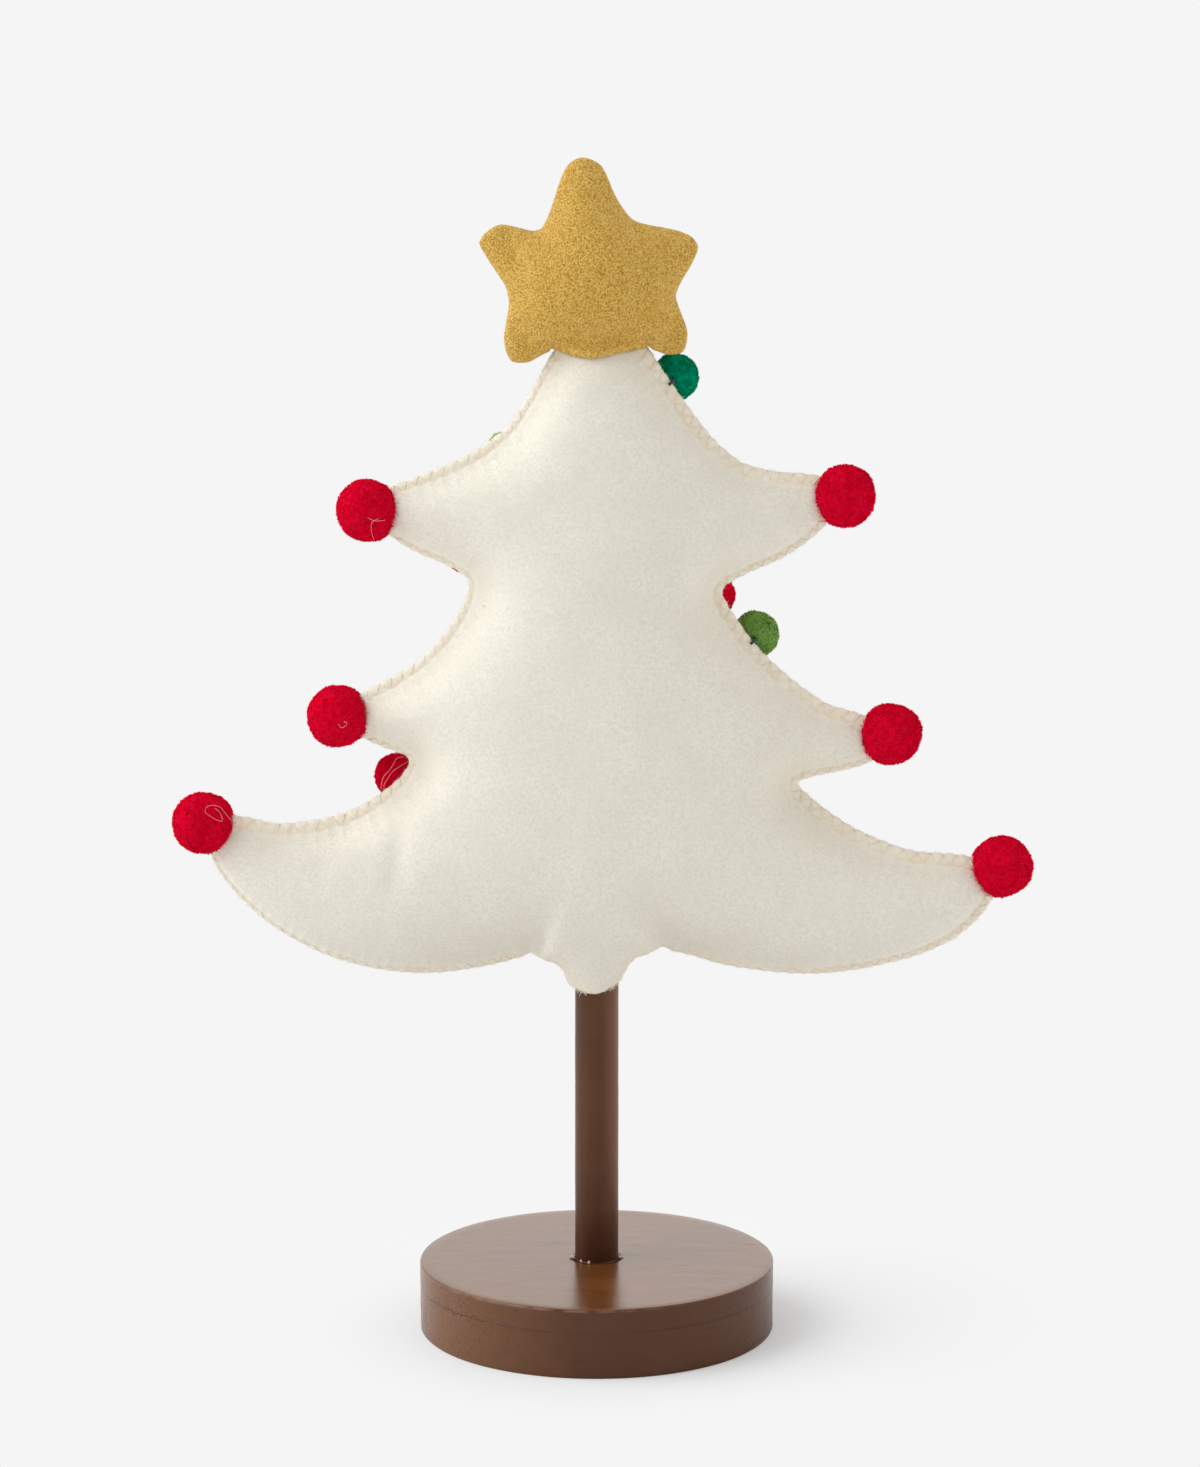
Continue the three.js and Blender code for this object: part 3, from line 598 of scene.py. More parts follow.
# At the hem the raw edge is left wavy, and the felt gapes where the sewing ends.
hem_ends = tree_marks[np.flatnonzero(in_hem != np.roll(in_hem, 1))]
from_hem_end = np.abs(tree_marks[:, None] - hem_ends).min(axis=1)
raw_edge = 0.9 * mm * noise_at(upright(rim), 5 * mm, 5) + 0.6 * mm * noise_at(upright(rim), 1.6 * mm, 6)
raw_edge = np.where(in_hem, raw_edge * smoothstep(from_hem_end, 0, 3 * mm), 0)
gape = hem_gape * np.exp(-(from_hem_end / gape_reach) ** 2)
# The sewn margin is widest on the edges that face up and right, and varies as hand sewing does.
rim_out = outwards_of(tree_line[:, [0, 2]])
facing = np.mean([np.roll(rim_out, shift, axis=0) for shift in range(-9, 10)], axis=0)
rim_margin = seam_width + facing @ (0.95 * mm, 0.8 * mm) + 0.7 * mm * noise_at(upright(rim), 38 * mm, 4)
rim_margin = np.maximum(rim_margin, least_margin)
rim_margin *= 0.2 + 0.8 * smoothstep(from_hem_end, 1 * mm, 10 * mm)
rim = rim + outwards_of(rim) * (raw_edge - gape)[:, None]
ring_depths = [share * rim_margin for share in (0.08, 0.2, 0.35, 0.52, 0.7, 0.86, 1.0)]
ring_depths += [rim_margin + further * mm for further in (0.7, 1.6, 2.8, 4.4, 6.4, 8.8)]
plan, home, reach, triangles = fill_plan(rim, ring_depths, net_spacing)
hem_point = in_hem[home]
margin = rim_margin[home]
at_rim = np.arange(len(plan)) < len(rim)
held = at_rim | ((reach < 1.01 * margin) & ~hem_point)
held_depth = np.where(at_rim & hem_point, hem_depth(plan[:, 0]), 0)
swell = membrane(plan, triangles, held, 0 * held_depth, 1.0)
sag = membrane(plan, triangles, held, held_depth ** 2, 0.0)
tree_depth = np.sqrt(np.maximum(sag + tree_puff ** 2 * swell / swell.max(), 0))
# The thick felt can't turn up sharply at the seam, and the stitches are loosest, with the softest
# turn, on the edges that face up and left.
beside_seam = 1 - smoothstep(reach, margin + 1 * mm, margin + 10 * mm)
past_margin = np.maximum(reach - seam_width - beside_seam * (margin - seam_width), 0.01 * mm)
slack = np.clip(facing[home] @ (-0.7, 0.7), 0, 1)
gentle = slack * (1 - smoothstep(past_margin, 2 * mm, 12 * mm))
slope = (0.9 - 0.45 * gentle) * past_margin * (1 + past_margin / ((9 - 4.5 * gentle) * mm))
held_down = 1 / np.sqrt(1 / np.maximum(tree_depth, 0.01 * mm) ** 2 + 1 / slope ** 2)
open_share = np.where(hem_point, smoothstep(from_hem_end[home], 0, 7 * mm), 0)
raised = open_share * tree_depth + (1 - open_share) * held_down
tree_depth = np.where(hem_point | (reach > margin), raised, tree_depth)

# Where a stitch lies across the margin: two strands run from holes on the seam line to one place
# on the edge, and the felt between them is drawn down
phase = stitch_phase[home]
from_stitch = np.abs(phase - np.round(phase)) * stitch_pitch
strand = strand_spread * stitch_pitch * np.clip(reach / margin, 0, 1)
on_margin = (reach < 1.1 * margin) & ~hem_point
groove = np.where(on_margin, np.exp(-((from_stitch - strand) / groove_width) ** 2), 0)
drawn_in = np.where(on_margin, smoothstep(strand - from_stitch, -0.3 * mm, 0.9 * mm), 0)
drawn_in *= (1 - smoothstep(reach, 0.9 * margin, 1.1 * margin)) * (1 - 0.4 * slack)
groove *= 1 - 0.4 * slack


def felt_rise(reach, margin, drawn_in, groove):
    """The felt's thickness over the sewn margin: round at the edge, plump between the stitches
    and pinched at the seam"""
    pinch = np.exp(-((reach - margin) / (1.1 * mm)) ** 2)
    plump = 1.08 - 0.18 * drawn_in - 0.1 * groove - 0.05 * pinch
    return felt_thickness * roundness(reach, edge_rounding) * plump


sewn = 1 - smoothstep(reach, margin + 0.5 * mm, margin + 4 * mm)
crumple = 1 + 0.1 * noise_at(upright(plan), 1.8 * mm, 9)
thickness = sewn * felt_rise(reach, margin, drawn_in, groove) * crumple + (1 - sewn) * felt_thickness
raw_thickness = felt_thickness * roundness(reach, raw_edge_rounding)
thickness = open_share * raw_thickness + (1 - open_share) * thickness

# Creases pressed into the stuffed felt: across and up of both ends, how deep and how wide, in
# millimetres. They run from the roots of the branches.
back_creases = [
    ((79.5, 279), (84.5, 240), 1.9, 3.2), ((84, 240), (73, 230), 1.1, 3.0),
    ((84.5, 364), (87, 352), 0.9, 3.0), ((-82, 233), (-86, 198), 1.5, 5.0),
    ((-108, 224), (-118, 202), 0.9, 5.0), ((-52, 326), (-36, 325), 0.7, 3.5),
    ((-78, 246), (-64, 240), 0.8, 3.5), ((56, 322), (40, 320), 0.6, 4.0),
    ((-20, 158), (-27, 185), 0.5, 5.0), ((22, 162), (30, 188), 0.45, 6.0),
]
front_creases = [
    ((-80, 244), (-62, 238), 1.2, 3.5), ((-52, 327), (-38, 320), 1.0, 3.5),
    ((84, 240), (66, 232), 1.3, 3.5), ((54, 322), (38, 316), 0.9, 4.0),
    ((20, 160), (26, 190), 0.9, 5.0), ((-21, 160), (-25, 186), 0.9, 5.0),
]


def dents_in(flat, creases):
    """For each crease, how far along it each point lies, from 0 to 1, and how deep it is there"""
    for start, end, deep, wide in creases:
        start, end = np.array(start) * mm, np.array(end) * mm
        run = end - start
        share = np.clip((flat - start) @ run / (run @ run), 0, 1)
        off = np.linalg.norm(flat - start - share[:, None] * run, axis=1)
        yield share, deep * mm * np.exp(-(off / (wide * mm)) ** 2)


def closed_between(inner, outer, side, flat, plan_triangles, rim_count):
    """Points and faces of the closed solid between two depths on one side of the middle plane,
    with one shared corner where the two meet, and which points have a corner of their own inside"""
    apart = outer - inner > 0.002 * mm
    inner_at = np.arange(len(flat))
    inner_at[apart] = len(flat) + np.arange(apart.sum())
    edge = np.arange(rim_count)
    beyond = (edge + 1) % rim_count
    faces = np.concatenate([plan_triangles, inner_at[plan_triangles][:, ::-1],
                            np.stack([beyond, edge, inner_at[edge]], axis=1),
                            np.stack([beyond, inner_at[edge], inner_at[beyond]], axis=1)])
    faces = faces[(faces != np.roll(faces, -1, axis=1)).all(axis=1)]
    if side > 0:
        faces = faces[:, ::-1]
    points = np.concatenate([upright(flat, side * outer), upright(flat, side * inner)[apart]])
    return points, [faces], apart


ivory_felt, tree, place = new_material("ivory_felt", {
    "Roughness": 0.95, "Specular IOR Level": 0.15, "Sheen Weight": 0.25, "Sheen Roughness": 0.6})
mottle = clouds(tree, place, 800, 3)
wool = mixed(tree, ramp(tree, clouds(tree, place, 60, 4), 0.3, 0.75), (244, 239, 226), (238, 232, 216))
wool = mixed(tree, ramp(tree, mottle, 0.42, 0.62), wool, (234, 228, 212))
wool = mixed(tree, ramp(tree, clouds(tree, place, 900, 3, 0.7), 0.6, 0.75), wool, (226, 212, 186))
# Painted light makes the felt paler along the sewn margin. It is tan at the stitches, with painted
# shade in the tan where the stitches pull grooves and on the edges that face right.
wool = mixed(tree, marked(tree, "seam"), wool, (250, 243, 228))
colour_with(tree, mixed(tree, marked(tree, "stitched"), wool, (236, 216, 188)))
relief(tree, clouds(tree, place, 1900, 3, 0.7), 0.6, 0.25 * mm)
relief(tree, mottle, 0.25, 0.5 * mm)

# Painted light: how much paler the margin is painted
past_seam = smoothstep(reach, margin - 0.4 * mm, margin + 2.2 * mm)
seam_painted_light = 0.8 * (1 - past_seam) * (1 - open_share)
blotches = smoothstep(noise_at(upright(plan), 1.7 * mm, 8), 0.0, 0.45)
tan_and_shade = np.clip(0.45 + 0.6 * noise_at(upright(plan), 9 * mm, 7), 0, 1)
# The tan is deeper, as painted shade, on the edges that face right, away from the lamp.
tan_and_shade = tan_and_shade * np.clip(0.5 + 0.75 * facing[home, 0] + 0.9 * slack, 0.05, 1.2) + 0.55 * blotches
at_seam = np.exp(-((reach - margin) / (0.7 * mm)) ** 2)
# The grooves and the felt drawn in by the stitches take more tan, as painted shade.
stitch_tan_and_shade = np.where(on_margin, tan_and_shade * (0.34 + 0.2 * drawn_in + 0.2 * groove), 0) + 0.3 * tan_and_shade * at_seam
stitch_tan_and_shade = (1 - open_share) * stitch_tan_and_shade + open_share * 0.4 * np.exp(-(reach / (3 * mm)) ** 2)
loose_hairs = 2600
frayed_ends = 120
torn_across = 7.2 * mm
torn_reach = 2.4 * mm


def spikes(feet, heads, wide, rng):
    """Points and faces of thin closed spikes from feet to heads"""
    ways = heads - feet
    first = unit(np.cross(ways, rng.standard_normal(ways.shape)))
    second = np.cross(ways, first) / np.linalg.norm(ways, axis=1)[:, None]
    wide = np.broadcast_to(wide, len(feet))[:, None]
    spots = [heads] + [feet + wide * (cos * first + sin * second) for cos, sin, _ in circle_of(3)]
    starts = 4 * np.arange(len(feet))[:, None]
    faces = [starts + np.array([corners]) for corners in ((0, 1, 2), (0, 2, 3), (0, 3, 1), (1, 3, 2))]
    return np.stack(spots, axis=1).reshape(-1, 3), np.concatenate(faces)


def surface_of(points, faces):
    """A surface that other pieces are measured against"""
    return BVHTree.FromPolygons(points.tolist(), [face for group in faces for face in group.tolist()])


def tree_panel(name, side, creases, seed):
    """One felt panel of the tree, lumpy where the stuffing is, with its creases"""
    full = smoothstep(reach, margin, margin + 16 * mm)
    spots = upright(plan, seed * 50 * mm)
    lumps = 0.75 * mm * noise_at(spots, 34 * mm, seed) + 0.22 * mm * noise_at(spots, 11 * mm, seed)
    pressed = sum(dent * (0.35 + 0.65 * np.sin(math.pi * (0.15 + 0.7 * share)))
                  for share, dent in dents_in(plan, creases))
    depth = np.maximum(tree_depth + full * lumps - np.where(full > 0, full ** 0.3, 0) * pressed, 0)
    inner = depth + meeting
    points, faces, apart = closed_between(inner, inner + thickness, side, plan, triangles, len(rim))
    felt = surface_of(points, faces)
    # Loose wool on the cut edge, and longer frayed ends at the raw hem
    rng = np.random.default_rng(20 + seed)
    torn = np.flatnonzero(in_hem & (np.abs(np.abs(rim[:, 0]) - torn_across) < torn_reach))
    spot = np.concatenate([rng.integers(0, len(rim), loose_hairs), rng.choice(torn, frayed_ends)])
    out = upright(outwards_of(rim))[spot]
    frayed = in_hem[spot] & (np.arange(len(spot)) >= loose_hairs)
    level = inner[spot] + felt_thickness * np.where(frayed, 0.95, rng.uniform(0.15, 0.75, len(spot)))
    feet = upright(rim[spot], side * level) - 0.5 * mm * out
    long = np.where(frayed, rng.uniform(0.6, 1.5, len(spot)), rng.uniform(0.8, 1.25, len(spot))) * mm
    ways = out + rng.standard_normal(feet.shape) * np.where(frayed, 0.55, 0.4)[:, None] * (1, 0.3, 1)
    ways[:, 1] = side * np.abs(ways[:, 1])
    hairs, hair_faces = spikes(feet, feet + ways * long[:, None], np.where(frayed, 0.14, 0.05) * mm, rng)
    blank = np.zeros(len(hairs))
    # The hairs take the margin's painted light, so that they show pale.
    marks = {"seam": np.clip(np.concatenate([seam_painted_light, seam_painted_light[apart], blank + 0.6]), 0, 1),
             "stitched": np.clip(np.concatenate([stitch_tan_and_shade, stitch_tan_and_shade[apart], blank]), 0, 1)}
    piece = new_piece(name, np.concatenate([points, hairs]), [*faces, hair_faces + len(points)],
                      [ivory_felt], marks)
    return depth, felt


back_depth, back_felt = tree_panel("tree_back_panel", -1, back_creases, 1)
front_depth, front_felt = tree_panel("tree_front_panel", 1, front_creases, 2)

# Tree stuffing
# Loose white polyester fibre that fills the panels up to the seam and is packed round the top of
# the pole.


def fibrous(name, scale, detail, first, second, strength, depth, constants):
    """A material whose colour and relief follow its fibres"""
    material, tree, place = new_material(name, constants)
    fibres = clouds(tree, place, scale, detail)
    colour_with(tree, mixed(tree, fibres, first, second))
    relief(tree, fibres, strength, depth)
    return material


white_fibre = fibrous("white_fibre", 240, 5, (246, 245, 241), (226, 224, 218), 0.8, 1 * mm, {"Roughness": 1})
stuffing_room = 0.5 * mm
stuffing_net = 5 * mm


def loose_object(name, points, faces):
    """A bare mesh in the scene that isn't a piece of its own"""
    mesh = bpy.data.meshes.new(name)
    mesh.from_pydata(points, [], faces)
    thing = bpy.data.objects.new(name, mesh)
    bpy.context.scene.collection.objects.link(thing)
    return thing


def stuffing_piece(name, outline, plan_points, depths, net, hollow):
    """A padded filling between two sides' depths, flat along its outline, less a hollow of
    (points, faces) for what it is pushed over"""
    spots, _, _, joined = fill_plan(outline, [net * 0.5], net)
    at, _ = nearest(spots, plan_points)
    inside = np.arange(len(spots)) >= len(outline)
    back, front = (np.where(inside, np.maximum(side[at] - stuffing_room, 0.05 * mm), 0) for side in depths)
    points, faces, _ = closed_between(-back, front, 1, spots, joined, len(outline))
    piece = new_piece(name, points, faces, [white_fibre])
    cutter = loose_object("hollow", hollow[0].tolist(), [list(face) for group in hollow[1] for face in group])
    cut = piece.modifiers.new("hollow", "BOOLEAN")
    cut.operation = "DIFFERENCE"
    cut.solver = "EXACT"
    cut.object = cutter
    shaped = bpy.data.meshes.new_from_object(piece.evaluated_get(bpy.context.evaluated_depsgraph_get()))
    piece.modifiers.clear()
    piece.data = shaped
    bpy.data.objects.remove(cutter)


inset = rim - outwards_of(rim) * (rim_margin + 0.3 * mm)[:, None]
clear = nearest(inset, rim)[1] > rim_margin
bore_top = pole_high[2] + wood_gap
pole_space = turned([(0, 0), (bore, 0), (bore, bore_top), (0, bore_top)], 48)
stuffing_piece("tree_stuffing", inset[clear][::4], plan, (back_depth, front_depth), stuffing_net,
               pole_space)

# Edge stitches
# Thin cream cotton thread, whipped over the felt edge by hand. At every place where it crosses
# the edge two strands fan out over the margin, and each goes into a hole on the seam line.
cotton = fibrous("cream_cotton", 1500, 2, (252, 244, 226), (236, 220, 188), 0.5, 0.15 * mm,
                 {"Roughness": 0.7})
thread_radius = 0.23 * mm
strand_sides = 5
# How near to the hem, in stitches, the sewing stops, and how deep the strands' ends go into the felt
hem_clearance = 0.6
end_depth = 0.75 * mm


def tube(path, radius, sides):
    """Points and faces of a closed round thread along a path; radius is one value or one a point"""
    path = np.asarray(path, float)
    frames = []
    across = np.array((0.31, 0.52, 0.79))
    for k, direction in enumerate(unit(np.gradient(path, axis=0))):
        across = across - direction * (across @ direction) if k else np.cross(direction, across)
        across = unit(across)
        frames.append((across, np.cross(direction, across)))
    first, second = (np.array(frames)[:, k][:, None] for k in range(2))
    circle = circle_of(sides)[None]
    ring = circle[:, :, :1] * first + circle[:, :, 1:2] * second
    points = (path[:, None] + np.broadcast_to(radius, len(path))[:, None, None] * ring).reshape(-1, 3)
    this = np.arange(sides)[None]
    caps = np.concatenate([this[:, ::-1], (len(path) - 1) * sides + this])
    return points, net_faces(len(path), sides, False)[:, [0, 3, 2, 1]], caps


def joined(parts):
    """Joins several tubes into one set of points and faces"""
    starts = np.cumsum([0] + [len(part[0]) for part in parts])
    points, quads, caps = zip(*parts)
    quads = np.concatenate([group + start for group, start in zip(quads, starts)])
    caps = np.concatenate([group + start for group, start in zip(caps, starts)])
    return np.concatenate(points), [quads, caps]


def along_rim(values, places):
    """A value of the rim at places counted along it, in stitches"""
    return at_marks(places % stitch_count, np.append(stitch_phase, stitch_count),
                    np.concatenate([values, values[:1]]))


hem_phases = stitch_phase[in_hem]
rng = np.random.default_rng(11)
strands = []
margin_shares = np.array([1.04, 1.0, 0.93, 0.8, 0.62, 0.44, 0.28, 0.15, 0.06, 0.0])
for crossing in range(stitch_count):
    from_hem = np.abs((hem_phases - crossing + stitch_count / 2) % stitch_count - stitch_count / 2).min()
    if from_hem < hem_clearance:
        continue
    for lean in (-1, 1):
        wander = rng.normal(0, 0.09)
        phases = crossing + lean * (0.045 + (0.4 + wander) * margin_shares)
        here = np.interp(crossing % stitch_count, stitch_phase, rim_margin)
        across_margin = margin_shares * here
        spots = along_rim(rim, phases) - along_rim(rim_out, phases) * across_margin[:, None]
        rise = meeting + felt_rise(across_margin, here, 0.5, 1) + 0.8 * thread_radius
        rise[:2] = (rise[2] - end_depth, rise[2] - 0.35 * mm)
        edge = along_rim(rim, phases[-1:]) + along_rim(rim_out, phases[-1:]) * 0.7 * thread_radius
        back = upright(spots, -rise)
        path = np.concatenate([back, upright(edge), (back * (1, -1, 1))[::-1]])
        strands.append(tube(path, thread_radius * (1 + 0.12 * rng.standard_normal()), strand_sides))
points, faces = joined(strands)
new_piece("tree_edge_thread", points, faces, [cotton])

# Star
# Two pieces of mustard looped wool cloth sewn face to face, turned and stuffed. The seam between
# the two feet is left open and hemmed, and the star is pushed over the tree's apex as a cap.
star_cloth_thickness = 1.6 * mm
star_puff = -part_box("star_back_panel")[0][1] - star_cloth_thickness - meeting + 1.5 * mm
star_clearance = 0.4 * mm
star_spacing = 0.43 * mm
least_corner_step = 1.4 * mm
ray_length = 100 * mm
star_seam_rounding = 1.2 * mm
star_hem_rounding = 2.2 * mm
loop_size = 0.75 * mm
loop_rise = 0.3 * mm

boucle, tree, place = new_material("mustard_boucle", {
    "Roughness": 0.95, "Specular IOR Level": 0.1, "Sheen Weight": 0.1, "Sheen Roughness": 0.6})
bend = node(tree, "ShaderNodeTexNoise", {"Vector": place, "Scale": 900, "Detail": 2}).outputs["Color"]
warped = node(tree, "ShaderNodeVectorMath", {0: bend, 1: (1.2 * mm,) * 3, 2: place}, operation="MULTIPLY_ADD")
curls = node(tree, "ShaderNodeTexVoronoi", {"Vector": warped.outputs["Vector"], "Scale": 1900})
curls = curls.outputs["Distance"]
wool = mixed(tree, ramp(tree, clouds(tree, place, 110, 3), 0.3, 0.7), (255, 219, 118), (255, 212, 106))
# Painted shade darkens the hollows between the loops, where the relief sinks, and where the grain mark is
# low.
wool = mixed(tree, ramp(tree, curls, 0.35, 0.85), wool, (190, 128, 36))
colour_with(tree, mixed(tree, ramp(tree, marked(tree, "grain"), 0.3, 0.0), wool, (206, 148, 54)))
relief(tree, clouds(tree, place, 2600, 3), 0.5, 0.25 * mm)
relief(tree, curls, 0.8, 0.7 * mm, invert=True)

star_corners = rim_of("star_back_panel")
star_steps = np.linalg.norm(star_corners - np.roll(star_corners, 1, axis=0), axis=1)
star_corners = star_corners[star_steps > least_corner_step]
star_line, _, _ = smooth_rim(star_corners[:, [0, 0, 2]], star_spacing)
star_rim = star_line[:, [0, 2]]
star_depths = np.array([0.2, 0.6, 1.1]) * mm
star_plan, star_home, star_reach, star_triangles = fill_plan(star_rim, star_depths, star_spacing)


def felt_face(spots, side, felt):
    """How far the felt's outer face stands off the middle plane at each spot, 0 beside the tree"""
    faces = np.zeros(len(spots))
    for k, (across, up) in enumerate(spots):
        hit = felt.ray_cast(Vector((across, side * ray_length, up)), Vector((0, -side, 0)), ray_length)[0]
        faces[k] = 0 if hit is None else abs(hit.y)
    return faces


def room_for_felt(spots, side, felt):
    """The least depth that clears the felt, sloping down beside its edge"""
    low = spots[:, 1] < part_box("tree_back_panel")[1][2] + 4 * mm
    room = np.zeros(len(spots))
    for step in (0, 1.2 * mm, 2.4 * mm, 3.6 * mm):
        for turn in np.arange(8 if step else 1) * math.pi / 4:
            moved = spots[low] + step * np.array([math.cos(turn), math.sin(turn)])
            face = felt_face(moved, side, felt)
            room[low] = np.maximum(room[low], np.where(face > 0, face + star_clearance - 0.8 * step, 0))
    return room


# Where the stuffed star is dented, in the same way as the tree's creases
star_dents = [
    ((-38, 474), (-32, 461), 2.6, 3.4), ((-29, 430), (-32, 434), 5.0, 3.2),
    ((29, 426), (36, 438), 6.0, 2.4), ((-9, 430), (12, 430), 3.6, 3.4),
    ((30, 468), (24, 462), 1.6, 5.0), ((-20, 472), (-16, 468), 1.2, 4.0),
    ((12, 476), (9, 470), 1.0, 4.0), ((34, 447), (29, 448), 1.4, 3.5),
    ((-36, 446), (-31, 447), 1.2, 3.5), ((5, 491), (12, 486), 1.0, 5.0),
]


def star_panel(name, side, felt, seed):
    """One panel of the star: blown up by its stuffing, dented, and grained like looped wool"""
    room = room_for_felt(star_plan, side, felt)
    at_edge = np.arange(len(star_plan)) < len(star_rim)
    open_edge = np.where(at_edge, room, 0)
    swell = membrane(star_plan, star_triangles, at_edge, 0 * room, 1.0)
    hem = membrane(star_plan, star_triangles, at_edge, open_edge ** 2, 0.0)
    swell = np.maximum(swell, 0) / swell.max()
    depth = np.sqrt(np.maximum(hem, 0) + (star_puff * (0.3 * np.sqrt(swell) + 0.7 * swell)) ** 2)
    for _, dent in dents_in(star_plan, star_dents):
        depth -= dent / (1 + dent / np.maximum(0.5 * depth, 0.1 * mm))
    spots = upright(star_plan, seed * 40 * mm)
    lumps = 0.5 * mm * noise_at(spots, 17 * mm, seed) + 0.18 * mm * noise_at(spots, 6 * mm, seed)
    depth = np.maximum(depth + smoothstep(star_reach, 0, 9 * mm) * lumps, np.maximum(room, 0))
    inner = depth + meeting
    hemmed = open_edge[star_home] > 0.8 * mm
    doubled = np.where(hemmed, 1 + 0.9 * smoothstep(-star_reach, -6 * mm, -3 * mm), 1)
    rounding = np.where(hemmed, star_hem_rounding, star_seam_rounding)
    cloth = star_cloth_thickness * doubled * roundness(star_reach, rounding)
    surface = upright(star_plan, side * depth) + (0, seed * 0.3, 0)
    loops = np.array([noise.voronoi(Vector(spot) / loop_size)[0][0] for spot in surface])
    # grain is high on the raised loops; where it is low, the material paints shade.
    grain = np.clip(1 - 1.35 * loops, 0, 1)
    raised = loop_rise * grain + 0.08 * mm * noise_at(surface, 0.7 * mm, seed)
    outer = inner + cloth + raised * np.clip(star_reach / (1 * mm), 0, 1)
    points, faces, apart = closed_between(inner, outer, side, star_plan, star_triangles, len(star_rim))
    piece = new_piece(name, points, faces, [boucle],
                      {"grain": np.concatenate([grain, grain[apart] * 0.5])})
    return depth, surface_of(points, faces)


star_back_depth, star_back_cloth = star_panel("star_back_panel", -1, back_felt, 1)
star_front_depth, star_front_cloth = star_panel("star_front_panel", 1, front_felt, 2)

# Star stuffing
# The same loose white fibre as in the tree, pressed aside by the tree's apex.
star_inset = star_rim - outwards_of(star_rim) * 2.4 * mm
clear = nearest(star_inset, star_rim)[1] > 2.3 * mm
grown = plan.copy()
grown[:len(rim)] += outwards_of(rim) * 1 * mm
apex = [depth + meeting + thickness + 0.6 * mm for depth in (back_depth, front_depth)]
apex_space = closed_between(-apex[0], apex[1], 1, grown, triangles, len(rim))[:2]
stuffing_piece("star_stuffing", star_inset[clear][::4], star_plan, (star_back_depth, star_front_depth),
               stuffing_net / 2, apex_space)

# Garland yarns
# Dark green yarn of two plies twisted together. Each garland's pom-poms are strung on one, and the
# knots at its ends lie inside the last pom-poms.
green_yarn = fibrous("dark_green_yarn", 1400, 3, (8, 40, 33), (20, 60, 50), 0.6, 0.2 * mm,
                     {"Roughness": 0.9, "Sheen Weight": 0.3})
ply_radius = 0.4 * mm
ply_turn = 3.2 * mm
yarn_sides = 6
yarn_step = 0.5 * mm
fit_rounds = 40
garland_pom_radius = 9.7 * mm
# The pom-poms on each yarn, from right to left as seen from the back
garland_colours = {
    "upper": ["emerald", "red", "olive", "crimson", "lime"],
    "middle": ["red", "lime", "emerald", "crimson", "olive", "emerald", "crimson"],
    "lower": ["olive", "crimson", "lime", "emerald", "red", "olive", "emerald", "lime", "crimson"],
}


def ball_centre(name, radius):
    """The centre of the ball whose surface most of a node's corners lie on"""
    corners = np.array([vertex.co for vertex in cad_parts[name].data.vertices])
    corners = np.unique(np.round(corners / (0.01 * mm)), axis=0) * 0.01 * mm
    low, high = corners.min(axis=0), corners.max(axis=0)
    best, most = None, 0
    for sides in np.ndindex(2, 2, 2):
        centre = np.where(sides, low + radius, high - radius)
        for _ in range(fit_rounds):
            away = corners - centre
            distance = np.linalg.norm(away, axis=1)
            miss = distance - radius
            weight = 1 / (1 + (miss / (0.3 * mm)) ** 2) ** 2
            slope = -away / distance[:, None]
            centre = centre + np.linalg.lstsq(slope * weight[:, None], -miss * weight, rcond=None)[0]
        found = (np.abs(np.linalg.norm(corners - centre, axis=1) - radius) < 0.03 * mm).sum()
        if found > most:
            best, most = centre, found
    return best


def curve_through(corners, spacing):
    """A smooth open line through the corners, evenly spaced"""
    ends = np.concatenate([2 * corners[:1] - corners[1:2], corners, 2 * corners[-1:] - corners[-2:-1]])
    lines = [bend_between(ends[:-3], ends[1:-2], ends[2:-1], ends[3:], share) for share in np.arange(12) / 12]
    line = np.concatenate([np.stack(lines, axis=1).reshape(-1, 3), corners[-1:]])
    run = run_along(line)
    return at_marks(np.linspace(0, run[-1], int(round(run[-1] / spacing)) + 1), run, line)


def yarn(name, corners, spacing, phase=0.0):
    """Two thin plies twisted round a smooth line through the corners; gives its points and faces"""
    line = curve_through(corners, spacing)
    ahead = unit(np.gradient(line, axis=0))
    across = unit(np.cross(ahead, (0, 1, 0.2)))
    upward = np.cross(ahead, across)
    turn = np.arange(len(line)) * spacing / ply_turn * 2 * math.pi + phase
    plies = []
    for half in (0, math.pi):
        offset = np.cos(turn + half)[:, None] * across + np.sin(turn + half)[:, None] * upward
        plies.append(tube(line + offset * ply_radius * 0.85, ply_radius, yarn_sides))
    points, faces = joined(plies)
    new_piece(name, points, faces, [green_yarn])
    return points, faces


garland_centres = {}
for garland, colours in garland_colours.items():
    garland_centres[garland] = np.array([
        ball_centre(f"garland_pom_{garland}_{k + 1}", garland_pom_radius) for k in range(len(colours))])
    yarn(f"garland_yarn_{garland}", garland_centres[garland], yarn_step)

